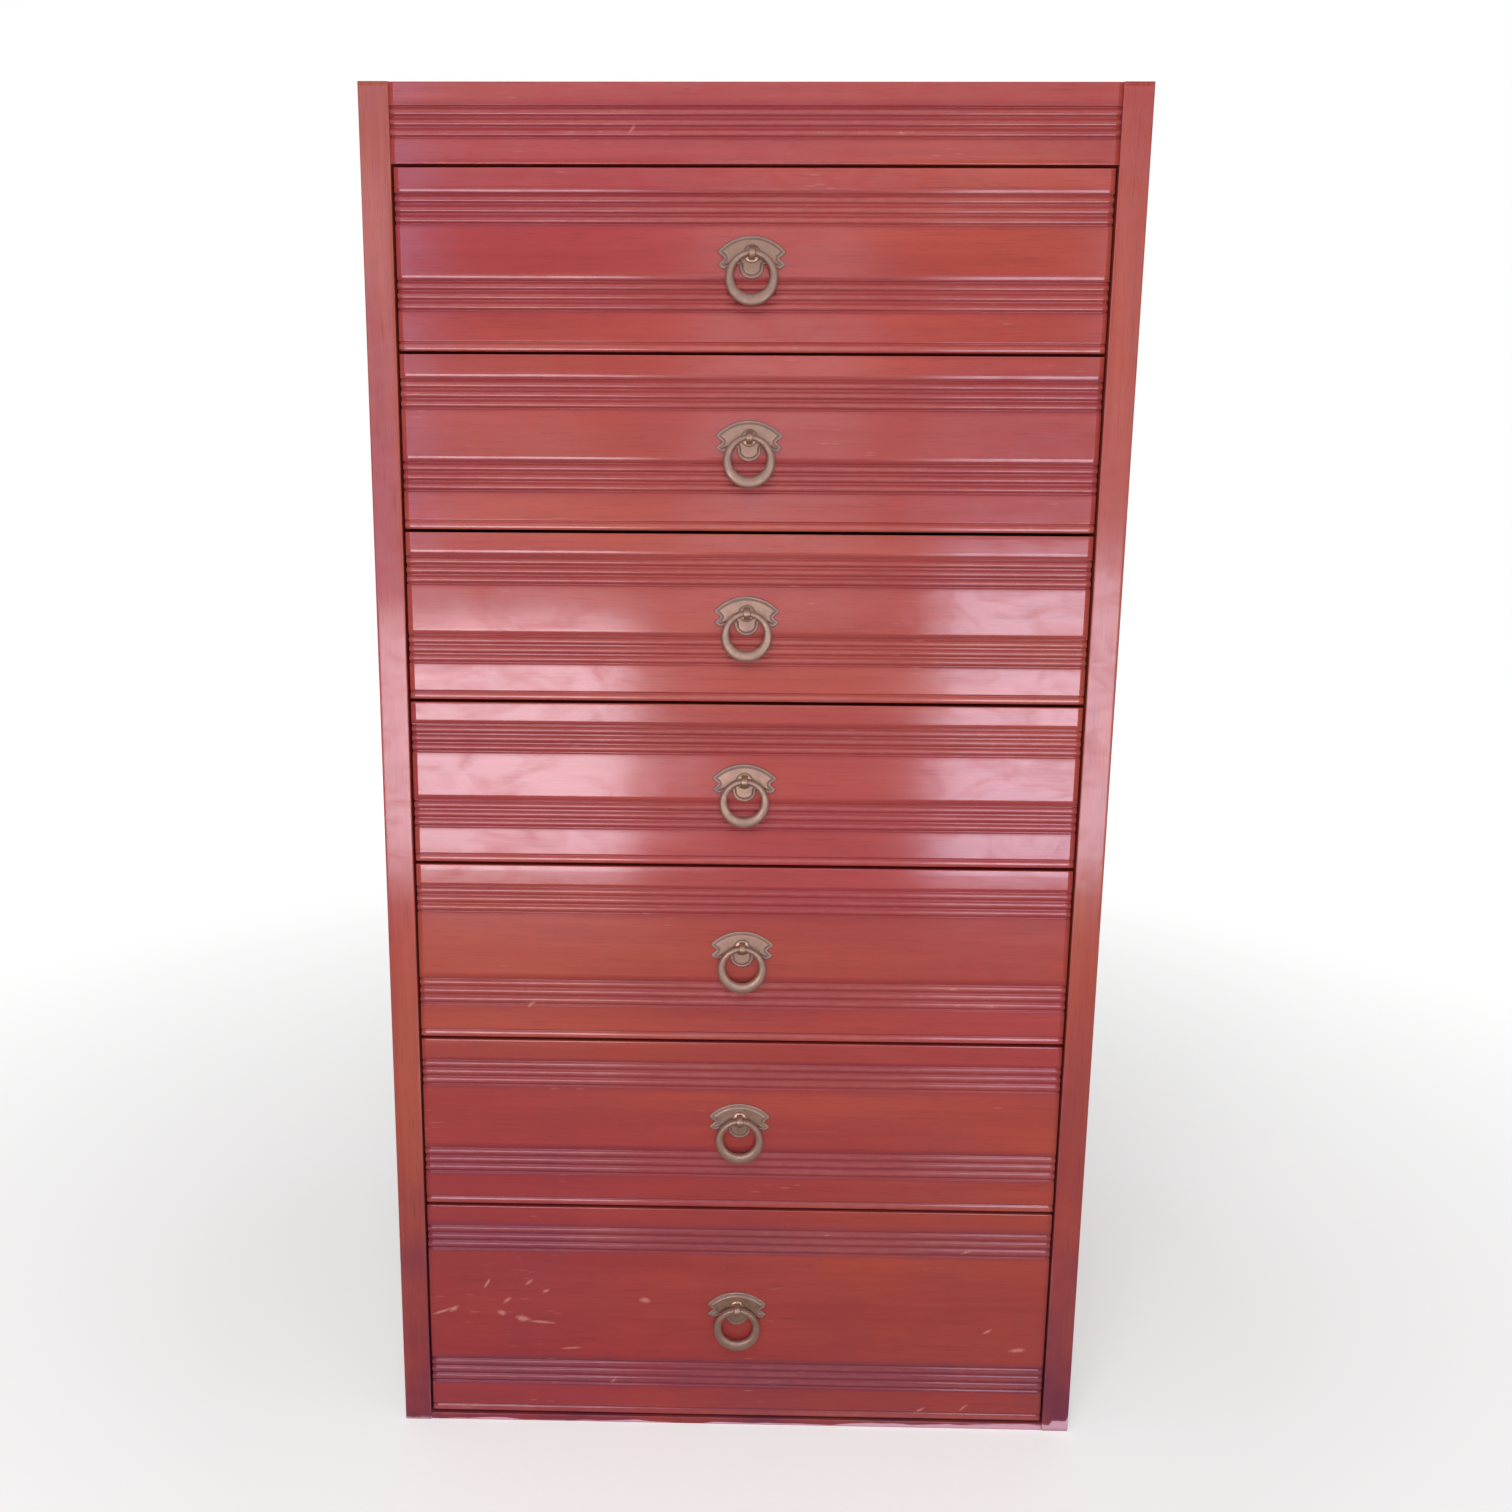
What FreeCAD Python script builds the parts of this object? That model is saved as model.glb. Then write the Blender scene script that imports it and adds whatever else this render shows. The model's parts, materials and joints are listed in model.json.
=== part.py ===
import FreeCAD, Part
import math
import os
import re

import Sketcher
from FreeCAD import Vector

# The inner drawer unit of a wardrobe: a tall case without feet or plinth and seven drawers.
#
# The front is at -Y, +X is to the right as one stands before it, +Z is up. The origin is on the
# floor, at the middle of the case's footprint. All sizes are millimetres.
#
# The drawers hang on side runners: a hardwood strip is housed in the case side and slides in a
# groove of the drawer side, so no rail is needed between the drawers. A runner's front end meets
# the back of the drawer front and stops the drawer.

# Driving dimensions: the cell's alias, its value and what it measures.
SIZES = [
    ("case_width", 570, "outside width of the case"),
    ("case_depth", 450, "front to back of the case"),
    ("board", 22, "thickness of the side boards"),
    ("rail_height", 55.2, "height of the reeded rail above the drawers"),
    ("rail_thick", 20, "thickness of the rail"),
    ("top_thick", 14, "thickness of the top board"),
    ("bottom_thick", 6, "thickness of the bottom board"),
    ("back_thick", 8, "thickness of the back boards"),
    ("back_rebate", 10, "how far a back board reaches into a side board"),
    ("back_lap", 8, "overlap of two back boards"),
    ("back_play", 0.5, "gap between two back boards"),
    ("housing", 5, "depth of the housings of rail, top and bottom in the side boards"),
    ("housing_stop", 12, "front end of the bottom board's housing behind the front edge"),
    ("tenon_thick", 8, "thickness of the rail's stub tenon"),
    ("tenon_margin", 10, "rail left above and below its tenon"),
    ("edge_round", 1, "radius of the worn long edges"),
    ("setback", 0.8, "rail and drawer fronts behind the edges of the side boards"),
    ("side_gap", 2.2, "gap beside a drawer"),
    ("front_gap", 2.4, "gap above and below a drawer front"),
    ("small_front", 128, "height of the four upper fronts"),
    ("medium_front", 145, "height of the next two fronts"),
    ("large_front", 191.6, "height of the lowest front"),
    ("front_thick", 20, "thickness of a drawer front"),
    ("lap", 6.5, "wood of the front that hides the tails"),
    ("side_wall", 11, "thickness of a drawer side"),
    ("back_wall", 10, "thickness of a drawer back"),
    ("rear_room", 17.2, "room between a drawer and the back"),
    ("side_drop", 3, "drawer side below the top and above the foot of its front"),
    ("back_drop", 4, "drawer back below the top of the sides"),
    ("panel", 5, "thickness of a drawer bottom"),
    ("panel_lift", 9, "drawer bottom above the lower edge of the sides"),
    ("panel_groove", 5, "depth of the groove for the drawer bottom"),
    ("panel_play", 0.5, "room for the drawer bottom to move in its grooves"),
    ("tail_spacing", 30, "wished distance of the tails behind the front"),
    ("pin", 6, "front pin at its narrow side"),
    ("rear_spacing", 24, "wished distance of the pins at the back"),
    ("rear_pin", 8, "rear pin at its wide side"),
    ("tail_slope", 7, "run of a dovetail's slope for a rise of one"),
    ("runner_height", 12, "height of a runner"),
    ("runner_room", 40.7, "rear end of a runner before the back"),
    ("runner_housing", 3, "depth of a runner's housing in the case side"),
    ("runner_groove", 6, "depth of the groove in a drawer side"),
    ("runner_play", 0.5, "room round a runner in its groove"),
    ("reeds", 3, "reeds in a band"),
    ("reed_pitch", 7, "distance from reed to reed"),
    ("reed_width", 5.4, "width of a reed"),
    ("reed_rise", 2, "depth of the grooves beside a reed"),
    ("reed_margin", 17.3, "plain wood above the upper band of a front"),
    ("reed_foot", 27.7, "wood below the lower band of a front, bead included"),
    ("rail_margin", 15.7, "plain wood above the band of the rail"),
    ("bead_width", 5.6, "width of the bead along the foot of a front"),
    ("quirk", 1.4, "width of the sunk line above the bead"),
    ("small_pull", 59.6, "eye of the pull below the top of a small front"),
    ("medium_pull", 65.2, "eye of the pull below the top of a medium front"),
    ("large_pull", 87.8, "eye of the pull below the top of the large front"),
    ("plate_width", 51, "width of the pull plate over its wings"),
    ("plate_top", 13, "top of the plate above the eye"),
    ("wing_top", 1.5, "upper point of a wing above the eye"),
    ("wing_low", 7, "lower point of a wing below the eye"),
    ("wing_foot", 10.5, "lowest point of a wing below the eye"),
    ("wing_inset", 4.5, "lowest point of a wing in from its end"),
    ("notch_depth", 5.5, "depth of the notch in a wing's end"),
    ("tongue_width", 18, "width of the tongue under the eye"),
    ("tongue_root", 6.5, "start of the tongue below the eye"),
    ("tongue_foot", 17, "end of the tongue below the eye"),
    ("tongue_ease", 0.6, "radius of the tongue's end over half its width"),
    ("plate_thick", 1.5, "thickness of the plate"),
    ("fan_rise", 0.9, "height of the raised fan on the plate"),
    ("fan_rim", 2.6, "rim of the plate left round the raised fan"),
    ("collar_width", 13, "diameter of the eye's collar"),
    ("collar_thick", 1.2, "thickness of the collar"),
    ("eye_wall", 1.6, "metal round the hole in the eye's lug"),
    ("eye_thick", 5, "thickness of the lug"),
    ("eye_play", 1.2, "room for the ring's section to turn in its hole"),
    ("neck_width", 4, "width of the square neck in the plate"),
    ("ring_room", 0.4, "ring to collar"),
    ("ring_radius", 16.4, "radius of the ring's centre line"),
    ("ring_top", 4.4, "height of the ring's section in the eye"),
    ("ring_foot", 6.8, "height of the ring's section at its lowest point"),
    ("ring_thick", 5, "thickness of the ring from front to back"),
    ("ring_bevel", 1.4, "bevel that makes the ring's section round"),
    ("shank_width", 4, "diameter of the eye's shank"),
    ("shank_play", 0.4, "hole wider than the neck or the shank in it"),
    ("shank_end", 1.5, "shank beyond its nut"),
    ("nut_width", 9, "width of the square nut"),
    ("nut_thick", 3, "thickness of the nut"),
    ("nail_width", 2, "width of a cut nail's shank"),
    ("nail_head", 4, "width of a nail's head"),
    ("nail_head_thick", 1.2, "thickness of a nail's head"),
    ("nail_length", 20, "length of a nail under its head"),
    ("side_nails", 5, "nails along one edge of the back"),
    ("board_nails", 2, "nails across one end of a back board"),
]
ALIASES = {alias for alias, value, note in SIZES}

# The fronts from the top down, each by the word that its cells start with.
DRAWERS = ["small"] * 4 + ["medium"] * 2 + ["large"]

# Distances that several pieces share, as expressions of the cells.
OPENING = "(case_width - 2 * board)"
FRONT_WIDTH = f"({OPENING} - 2 * side_gap)"
INNER_WIDTH = f"({FRONT_WIDTH} - 2 * side_wall)"
FRONT_HEIGHTS = " + ".join(f"{size}_front" for size in DRAWERS)
CASE_HEIGHT = f"(bottom_thick + {FRONT_HEIGHTS} + {len(DRAWERS) + 1} * front_gap + rail_height)"
FRONT_FACE = "(setback - case_depth / 2)"
BACK_FACE = "(case_depth - back_thick)"
DRAWER_LENGTH = f"({BACK_FACE} - rear_room - setback)"
TAIL_LENGTH = "(front_thick - lap)"
BAND = "((reeds + 1) * reed_pitch - reed_width)"
RUNNER_START = "(setback + front_thick + runner_play)"
RUNNER_END = f"({BACK_FACE} - runner_room)"
RUNNER_THICK = "(runner_housing + side_gap + runner_groove - runner_play)"
FAN_FACE = "(plate_thick + fan_rise)"
EYE_REACH = f"({FAN_FACE} + collar_thick + ring_room + ring_thick / 2)"
RING_CORNERS = ("max(sqrt(ring_thick ^ 2 + (ring_top - 2 * ring_bevel) ^ 2);"
                " sqrt(ring_top ^ 2 + (ring_thick - 2 * ring_bevel) ^ 2))")
EYE_HOLE = f"({RING_CORNERS} + eye_play)"
EYE_WIDTH = f"({EYE_HOLE} + 2 * eye_wall)"
BACK_WIDTH = "(case_width - 2 * board + 2 * back_rebate)"
BACK_BOARDS = ["left", "middle", "right"]

# Chords that stand for a round: of small turned parts, the plate's arcs, the lug and the ring.
FLATS = 12
ARCH_CHORDS = 6
LUG_CHORDS = 6
RING_CHORDS = 20

CLOSE = 1e-6

doc = FreeCAD.newDocument("DrawerInsert")
sheet = doc.addObject("Spreadsheet::Sheet", "Sizes")


def fill_sheet():
    """One row for each driving dimension: its name, its value and what it measures."""
    for row, (alias, value, note) in enumerate(SIZES, start=1):
        sheet.set(f"A{row}", alias)
        sheet.set(f"B{row}", str(value))
        sheet.set(f"C{row}", note)
        sheet.setAlias(f"B{row}", alias)
    doc.recompute()


def full(expression):
    """The expression with the sheet's name before each alias."""
    return re.sub(r"[a-z_]+", lambda word: tied(word.group()), expression)


def tied(word):
    return f"Sizes.{word}" if word in ALIASES else word


def number(expression):
    """What an expression gives now, to start a sketch near its final shape."""
    return float(sheet.evalExpression(full(expression)))


def new_body(label):
    body = doc.addObject("PartDesign::Body", "".join(word.title() for word in label.split("_")))
    body.Label = label
    return body


def place(thing, x, y, z):
    for axis, expression in (("x", x), ("y", y), ("z", z)):
        thing.setExpression(f"Placement.Base.{axis}", full(expression))


def origin_part(body, role):
    return next(part for part in body.Origin.OriginFeatures if part.Role == role)


def new_sketch(body, plane, offset="0"):
    """A sketch on one of the body's own origin planes, moved along the plane's normal."""
    sketch = body.newObject("Sketcher::SketchObject", "Sketch")
    sketch.AttachmentSupport = (origin_part(body, plane), "")
    sketch.MapMode = "FlatFace"
    sketch.setExpression("AttachmentOffset.Base.z", full(offset))
    return sketch


def fix(sketch, sizes):
    """Adds dimensions to a sketch in one go: (kind, what it holds, expression, name) each."""
    limits = []
    for kind, targets, expression, name in sizes:
        limit = Sketcher.Constraint(kind, *targets, number(expression))
        limit.Name = name
        limits.append(limit)
    sketch.addConstraint(limits)
    for kind, targets, expression, name in sizes:
        sketch.setExpression(f"Constraints.{name}", full(expression))


def arc_between(start, end, radius, turn):
    """The shorter arc from start to end; turn is 1 where it runs counterclockwise, else -1."""
    chord = end - start
    rise = math.sqrt(radius ** 2 - (chord.Length / 2) ** 2)
    middle = (start + end) / 2 + Vector(-chord.y, chord.x, 0).normalize() * rise * turn
    first, last = (start, end) if turn > 0 else (end, start)
    angles = [math.atan2(spot.y - middle.y, spot.x - middle.x) for spot in (first, last)]
    return Part.ArcOfCircle(Part.Circle(middle, Vector(0, 0, 1), radius), *angles)


def add_loop(sketch, corners, arcs=None):
    """A closed loop. Corners are pairs of expressions; arcs gives an edge its radius and turn."""
    arcs = arcs or {}
    first = sketch.GeometryCount
    total = len(corners)
    spots = [Vector(number(x), number(y), 0) for x, y in corners]
    edges = []
    ends = []
    for index, start in enumerate(spots):
        end = spots[(index + 1) % total]
        radius, turn = arcs.get(index, ("0", 0))
        if turn:
            edges.append(arc_between(start, end, number(radius), turn))
        else:
            edges.append(Part.LineSegment(start, end))
        ends.append((2, 1) if turn < 0 else (1, 2))
    sketch.addGeometry(edges, False)
    sketch.addConstraint([
        Sketcher.Constraint("Coincident", first + index, ends[index][1],
                            first + (index + 1) % total, ends[(index + 1) % total][0])
        for index in range(total)
    ])
    sizes = []
    for index, (x, y) in enumerate(corners):
        corner = (-1, 1, first + index, ends[index][0])
        sizes.append(("DistanceX", corner, x, f"across{first + index}"))
        sizes.append(("DistanceY", corner, y, f"along{first + index}"))
        if index in arcs:
            sizes.append(("Radius", (first + index,), arcs[index][0], f"radius{first + index}"))
    fix(sketch, sizes)


def add_box(sketch, left, right, low, high):
    add_loop(sketch, [(left, low), (right, low), (right, high), (left, high)])


def add_circle(sketch, x, y, diameter):
    index = sketch.GeometryCount
    spot = Vector(number(x), number(y), 0)
    sketch.addGeometry(Part.Circle(spot, Vector(0, 0, 1), number(diameter) / 2), False)
    fix(sketch, [
        ("DistanceX", (-1, 1, index, 3), x, f"across{index}"),
        ("DistanceY", (-1, 1, index, 3), y, f"along{index}"),
        ("Diameter", (index,), diameter, f"wide{index}"),
    ])


def add_dovetail(sketch, start, end, middle, width_at_start, widens):
    """A dovetail from start to end across the sketch; widens is 1 or -1 from start to end."""
    half = f"{width_at_start} / 2"
    far_half = f"({half} + {widens} * (({end}) - ({start})) / tail_slope)"
    add_loop(sketch, [
        (start, f"{middle} - {half}"),
        (end, f"{middle} - {far_half}"),
        (end, f"{middle} + {far_half}"),
        (start, f"{middle} + {half}"),
    ])


def shape_from(body, kind, sketch, length, flip, both_ways):
    feature = body.newObject(f"PartDesign::{kind}", kind)
    feature.Profile = sketch
    feature.Reversed = flip
    feature.SideType = "Symmetric" if both_ways else "One side"
    if length == "through":
        feature.Type = "ThroughAll"
    else:
        feature.setExpression("Length", full(length))
    return feature


def pad(body, sketch, length, flip=False, both_ways=False):
    return shape_from(body, "Pad", sketch, length, flip, both_ways)


def pocket(body, sketch, length, flip=False, both_ways=False):
    return shape_from(body, "Pocket", sketch, length, flip, both_ways)


def repeat_up(body, feature, spacing, count):
    """Copies of a feature, one above the other."""
    pattern = body.newObject("PartDesign::LinearPattern", "Pattern")
    pattern.Originals = [feature]
    pattern.Direction = (origin_part(body, "Z_Axis"), [""])
    pattern.Mode = "Spacing"
    pattern.setExpression("Offset", full(spacing))
    pattern.setExpression("Occurrences", full(count))
    body.Tip = pattern
    return pattern


def chosen_edges(body, chosen):
    """The body's last feature and the straight edges in it that the test chooses by their ends."""
    doc.recompute()
    names = []
    for index, edge in enumerate(body.Tip.Shape.Edges, start=1):
        if len(edge.Vertexes) == 2 and chosen(edge.Vertexes[0].Point, edge.Vertexes[1].Point):
            names.append(f"Edge{index}")
    return body.Tip, names


def round_edges(body, radius, chosen):
    base = chosen_edges(body, chosen)
    rounding = body.newObject("PartDesign::Fillet", "Rounding")
    rounding.Base = base
    rounding.setExpression("Radius", full(radius))


def bevel_edges(body, size, chosen):
    base = chosen_edges(body, chosen)
    bevel = body.newObject("PartDesign::Chamfer", "Bevel")
    bevel.Base = base
    bevel.setExpression("Size", full(size))


def level(a, b, axis, expression):
    """Whether both ends of an edge lie at the place that the expression gives along an axis."""
    place = number(expression)
    return all(abs(getattr(end, axis) - place) < CLOSE for end in (a, b))


# Heights, each from the floor or from the lower edge of the piece that it belongs to.


def front_low(index):
    """The lower edge of a front: the bottom board, and the drawers and gaps under it."""
    below = "".join(f" + {size}_front + front_gap" for size in DRAWERS[index + 1:])
    return f"(bottom_thick + front_gap{below})"


def side_height(size):
    return f"({size}_front - 2 * side_drop)"


def back_height(size):
    return f"({side_height(size)} - panel_lift - panel - back_drop)"


def groove_middle(size):
    """The runner's height above the drawer side's lower edge: level with the back's middle."""
    return f"(panel_lift + panel + {back_height(size)} / 2)"


def runner_low(index):
    size = DRAWERS[index]
    return f"({front_low(index)} + side_drop + {groove_middle(size)} - runner_height / 2)"


# Dovetails: the tails behind the front, and the rear pins in two groups beside the runner groove.


def tail_count(size):
    return f"max(2; round({side_height(size)} / tail_spacing))"


def tail_step(size):
    return f"({side_height(size)} / {tail_count(size)})"


def rear_half(size):
    return f"(({back_height(size)} - runner_height) / 2)"


def rear_count(size):
    return f"max(1; round({rear_half(size)} / rear_spacing))"


def rear_step(size):
    return f"({rear_half(size)} / {rear_count(size)})"


def rear_groups(size):
    """The height of the lowest pin of each group above the back's lower edge."""
    first = f"{rear_step(size)} / 2"
    return [first, f"({rear_half(size)} + runner_height + {first})"]


# The nails of the back: where each one stands, seen from behind as x and z.


def side_nail_spots(hand):
    x = f"{hand} * (case_width / 2 - board + back_rebate / 2)"
    return [
        (x, f"{CASE_HEIGHT} * {index + 0.5} / side_nails")
        for index in range(round(number("side_nails")))
    ]


def board_nail_spots(position, z):
    count = round(number("board_nails"))
    step = f"({BACK_WIDTH} / {len(BACK_BOARDS)} / board_nails)"
    left = f"{BACK_WIDTH} * ({position / len(BACK_BOARDS)} - 0.5)"
    return [(f"({left} + {step} * {index + 0.5})", z) for index in range(count)]


def end_nail_spots(position):
    """The nails at the foot and the head of one back board, into the bottom and the top."""
    low = board_nail_spots(position, "bottom_thick / 2")
    return low + board_nail_spots(position, f"({CASE_HEIGHT} - top_thick / 2)")


def nail_holes(body, spots, depth_from, head=False):
    """Square holes from a face towards the front, for the shank or for the head of each nail."""
    width = "nail_head" if head else "nail_width"
    sketch = new_sketch(body, "XZ_Plane", f"-({depth_from})")
    for x, z in spots:
        add_box(sketch, f"{x} - {width} / 2", f"{x} + {width} / 2",
                f"{z} - nail_width / 2", f"{z} + nail_width / 2")
    length = "nail_head_thick" if head else "nail_length"
    pocket(body, sketch, length, flip=True)


# The case


def side_board(name, hand):
    """A side board; hand is -1 on the left and 1 on the right. x is 0 on its inner face."""
    body = new_body(f"side_board_{name}")
    left = hand < 0
    outline = new_sketch(body, "YZ_Plane")
    add_box(outline, "0", "case_depth", "0", CASE_HEIGHT)
    pad(body, outline, "board", flip=left)

    rebate = new_sketch(body, "YZ_Plane")
    add_box(rebate, BACK_FACE, "case_depth", "0", CASE_HEIGHT)
    pocket(body, rebate, "back_rebate", flip=not left)

    housings = new_sketch(body, "YZ_Plane")
    add_box(housings, "housing_stop", BACK_FACE, "0", "bottom_thick")
    top = f"({CASE_HEIGHT} - top_thick)"
    add_box(housings, "setback + rail_thick", BACK_FACE, top, CASE_HEIGHT)
    tenon_face = "(setback + (rail_thick - tenon_thick) / 2)"
    add_box(housings, tenon_face, f"{tenon_face} + tenon_thick",
            f"{CASE_HEIGHT} - rail_height + tenon_margin", f"{CASE_HEIGHT} - tenon_margin")
    pocket(body, housings, "housing", flip=not left)

    seats = new_sketch(body, "YZ_Plane")
    for index in range(len(DRAWERS)):
        low = runner_low(index)
        add_box(seats, RUNNER_START, RUNNER_END, low, f"{low} + runner_height")
    pocket(body, seats, "runner_housing", flip=not left)

    inner_face = f"{hand} * (case_width / 2 - board)"
    spots = [(f"({x} - {inner_face})", z) for x, z in side_nail_spots(hand)]
    nail_holes(body, spots, "case_depth - nail_head_thick")
    round_edges(body, "edge_round", lambda a, b: level(a, b, "y", "0") and abs(a.x - b.x) < CLOSE)
    place(body, inner_face, "-case_depth / 2", "0")
    return body


def reeding(body, width, band_lows, bead=False):
    """Sinks the bands into the face at y 0, then lays the reeds, and the bead at the foot."""
    sunk = new_sketch(body, "YZ_Plane")
    for low in band_lows:
        add_box(sunk, "0", "reed_rise", low, f"{low} + {BAND}")
    if bead:
        add_box(sunk, "0", "reed_rise", "0", "bead_width + quirk")
    pocket(body, sunk, "through", both_ways=True)
    reed = new_sketch(body, "YZ_Plane")
    for low in band_lows:
        start = f"({low} + reed_pitch - reed_width)"
        add_round(reed, start, "reed_width")
    reeds = pad(body, reed, width, both_ways=True)
    repeat_up(body, reeds, "reed_pitch", "reeds")
    if bead:
        nose = new_sketch(body, "YZ_Plane")
        add_round(nose, "0", "bead_width")
        pad(body, nose, width, both_ways=True)


def add_round(sketch, low, width):
    """The section of a reed: a chord on the sunk ground and an arc that comes up to the face."""
    radius = f"(({width} / 2) ^ 2 + reed_rise ^ 2) / (2 * reed_rise)"
    corners = [("reed_rise", low), ("reed_rise", f"{low} + {width}")]
    add_loop(sketch, corners, {1: (radius, -1)})


def top_rail():
    body = new_body("top_rail")
    outline = new_sketch(body, "YZ_Plane")
    add_box(outline, "0", "rail_thick", "0", "rail_height")
    pad(body, outline, OPENING, both_ways=True)
    reeding(body, OPENING, [f"(rail_height - rail_margin - {BAND})"])
    for hand in (-1, 1):
        tenon = new_sketch(body, "YZ_Plane", f"{hand} * {OPENING} / 2")
        face = "(rail_thick - tenon_thick) / 2"
        add_box(tenon, face, f"{face} + tenon_thick", "tenon_margin", "rail_height - tenon_margin")
        pad(body, tenon, "housing", flip=hand < 0)
    place(body, "0", FRONT_FACE, f"{CASE_HEIGHT} - rail_height")
    return body


def top_board():
    body = new_body("top_board")
    outline = new_sketch(body, "XY_Plane")
    half = f"({OPENING} / 2 + housing)"
    add_box(outline, f"-{half}", half, "setback + rail_thick", BACK_FACE)
    pad(body, outline, "top_thick")
    spots = []
    for position in range(len(BACK_BOARDS)):
        spots += board_nail_spots(position, "top_thick / 2")
    nail_holes(body, spots, "case_depth - nail_head_thick")
    place(body, "0", "-case_depth / 2", f"{CASE_HEIGHT} - top_thick")
    return body


def bottom_board():
    """The bottom: its front end is narrower, so that no housing shows from the front."""
    body = new_body("bottom_board")
    outline = new_sketch(body, "XY_Plane")
    narrow = f"{OPENING} / 2"
    wide = f"({OPENING} / 2 + housing)"
    add_loop(outline, [
        (f"-{narrow}", "setback"),
        (narrow, "setback"),
        (narrow, "housing_stop"),
        (wide, "housing_stop"),
        (wide, BACK_FACE),
        (f"-{wide}", BACK_FACE),
        (f"-{wide}", "housing_stop"),
        (f"-{narrow}", "housing_stop"),
    ])
    pad(body, outline, "bottom_thick")
    spots = []
    for position in range(len(BACK_BOARDS)):
        spots += board_nail_spots(position, "bottom_thick / 2")
    nail_holes(body, spots, "case_depth - nail_head_thick")
    place(body, "0", "-case_depth / 2", "0")
    return body


def back_board(position):
    """One board of the back. Its right edge laps in front of the next board's left edge."""
    name = BACK_BOARDS[position]
    body = new_body(f"back_board_{name}")
    step = f"{BACK_WIDTH} / {len(BACK_BOARDS)}"
    left = f"(-{BACK_WIDTH} / 2 + {position} * {step})"
    right = f"({left} + {step})"
    half = "back_thick / 2"
    corners = [(left, "back_thick"), (left, "0")]
    if position > 0:
        outer = f"({left} + back_play)"
        inner = f"({outer} + back_lap)"
        corners = [(outer, "back_thick"), (outer, half), (inner, half), (inner, "0")]
    if position < len(BACK_BOARDS) - 1:
        tongue = f"({right} + back_lap)"
        corners += [(tongue, "0"), (tongue, half), (right, half), (right, "back_thick")]
    else:
        corners += [(right, "0"), (right, "back_thick")]
    outline = new_sketch(body, "XY_Plane")
    add_loop(outline, corners)
    pad(body, outline, CASE_HEIGHT)
    spots = end_nail_spots(position)
    if name == "left":
        spots += side_nail_spots(-1)
    if name == "right":
        spots += side_nail_spots(1)
    nail_holes(body, spots, "back_thick", head=True)
    nail_holes(body, spots, "back_thick - nail_head_thick")
    place(body, "0", "case_depth / 2 - back_thick", "0")
    return body


def back_nails():
    """Every nail of the back, as separate solids: a flat head and a square shank before it."""
    spots = side_nail_spots(-1) + side_nail_spots(1)
    for position in range(len(BACK_BOARDS)):
        spots += end_nail_spots(position)
    nails = []
    for x, z in spots:
        head = nail_block(x, z, "nail_head", "case_depth / 2 - nail_head_thick", "nail_head_thick")
        shank_start = "case_depth / 2 - nail_head_thick - nail_length"
        shank = nail_block(x, z, "nail_width", shank_start, "nail_length")
        nail = doc.addObject("Part::Fuse", "Nail")
        nail.Base = head
        nail.Tool = shank
        nails.append(nail)
    group = doc.addObject("Part::Compound", "BackNails")
    group.Label = "back_nails"
    group.Links = nails
    return group


def nail_block(x, z, width, y, length):
    """One straight stretch of a nail, centred on x and z."""
    block = doc.addObject("Part::Box", "NailBlock")
    block.setExpression("Length", full(width))
    block.setExpression("Width", full(length))
    block.setExpression("Height", full("nail_width"))
    place(block, f"{x} - {width} / 2", y, f"{z} - nail_width / 2")
    return block


def runners(name, hand):
    """The runners of one side, as separate solids. x is 0 at the bottom of their housings."""
    body = new_body(f"runners_{name}")
    sketch = new_sketch(body, "YZ_Plane")
    for index in range(len(DRAWERS)):
        low = runner_low(index)
        add_box(sketch, RUNNER_START, RUNNER_END, low, f"{low} + runner_height")
    pad(body, sketch, RUNNER_THICK, flip=hand > 0)
    place(body, f"{hand} * ({OPENING} / 2 + runner_housing)", "-case_depth / 2", "0")
    return body


# A drawer. The wooden pieces share one frame: the origin is at the middle of the front's foot, on
# its face. Drawers of one height are drawn once, and each drawer's nodes hold copies.


def drawer_front(size):
    """The moulded front. y is 0 on its face, z is 0 at its lower edge."""
    height = f"{size}_front"
    body = new_body(f"{size}_front")
    outline = new_sketch(body, "YZ_Plane")
    add_box(outline, "0", "front_thick", "0", height)
    pad(body, outline, FRONT_WIDTH, both_ways=True)
    reeding(body, FRONT_WIDTH, ["reed_foot", f"({height} - reed_margin - {BAND})"], bead=True)

    step = tail_step(size)
    tail_root = f"({step} - pin - 2 * {TAIL_LENGTH} / tail_slope)"
    for hand in (-1, 1):
        socket = new_sketch(body, "YZ_Plane", f"{hand} * {FRONT_WIDTH} / 2")
        add_dovetail(socket, "front_thick", "lap", f"(side_drop + {step} / 2)", tail_root, -1)
        cut = pocket(body, socket, "side_wall", flip=hand < 0)
        repeat_up(body, cut, step, tail_count(size))

    groove = new_sketch(body, "YZ_Plane")
    low = "(side_drop + panel_lift)"
    add_box(groove, "front_thick - panel_groove", "front_thick", low, f"{low} + panel")
    pocket(body, groove, f"{INNER_WIDTH} + 2 * panel_groove", both_ways=True)

    hole = new_sketch(body, "XZ_Plane")
    add_flats(hole, "0", f"{height} - {size}_pull", "shank_width + shank_play", FLATS)
    pocket(body, hole, "through")
    round_edges(body, "edge_round", lambda a, b: level(a, b, "y", "0") and level(a, b, "z", height))
    return body


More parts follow.
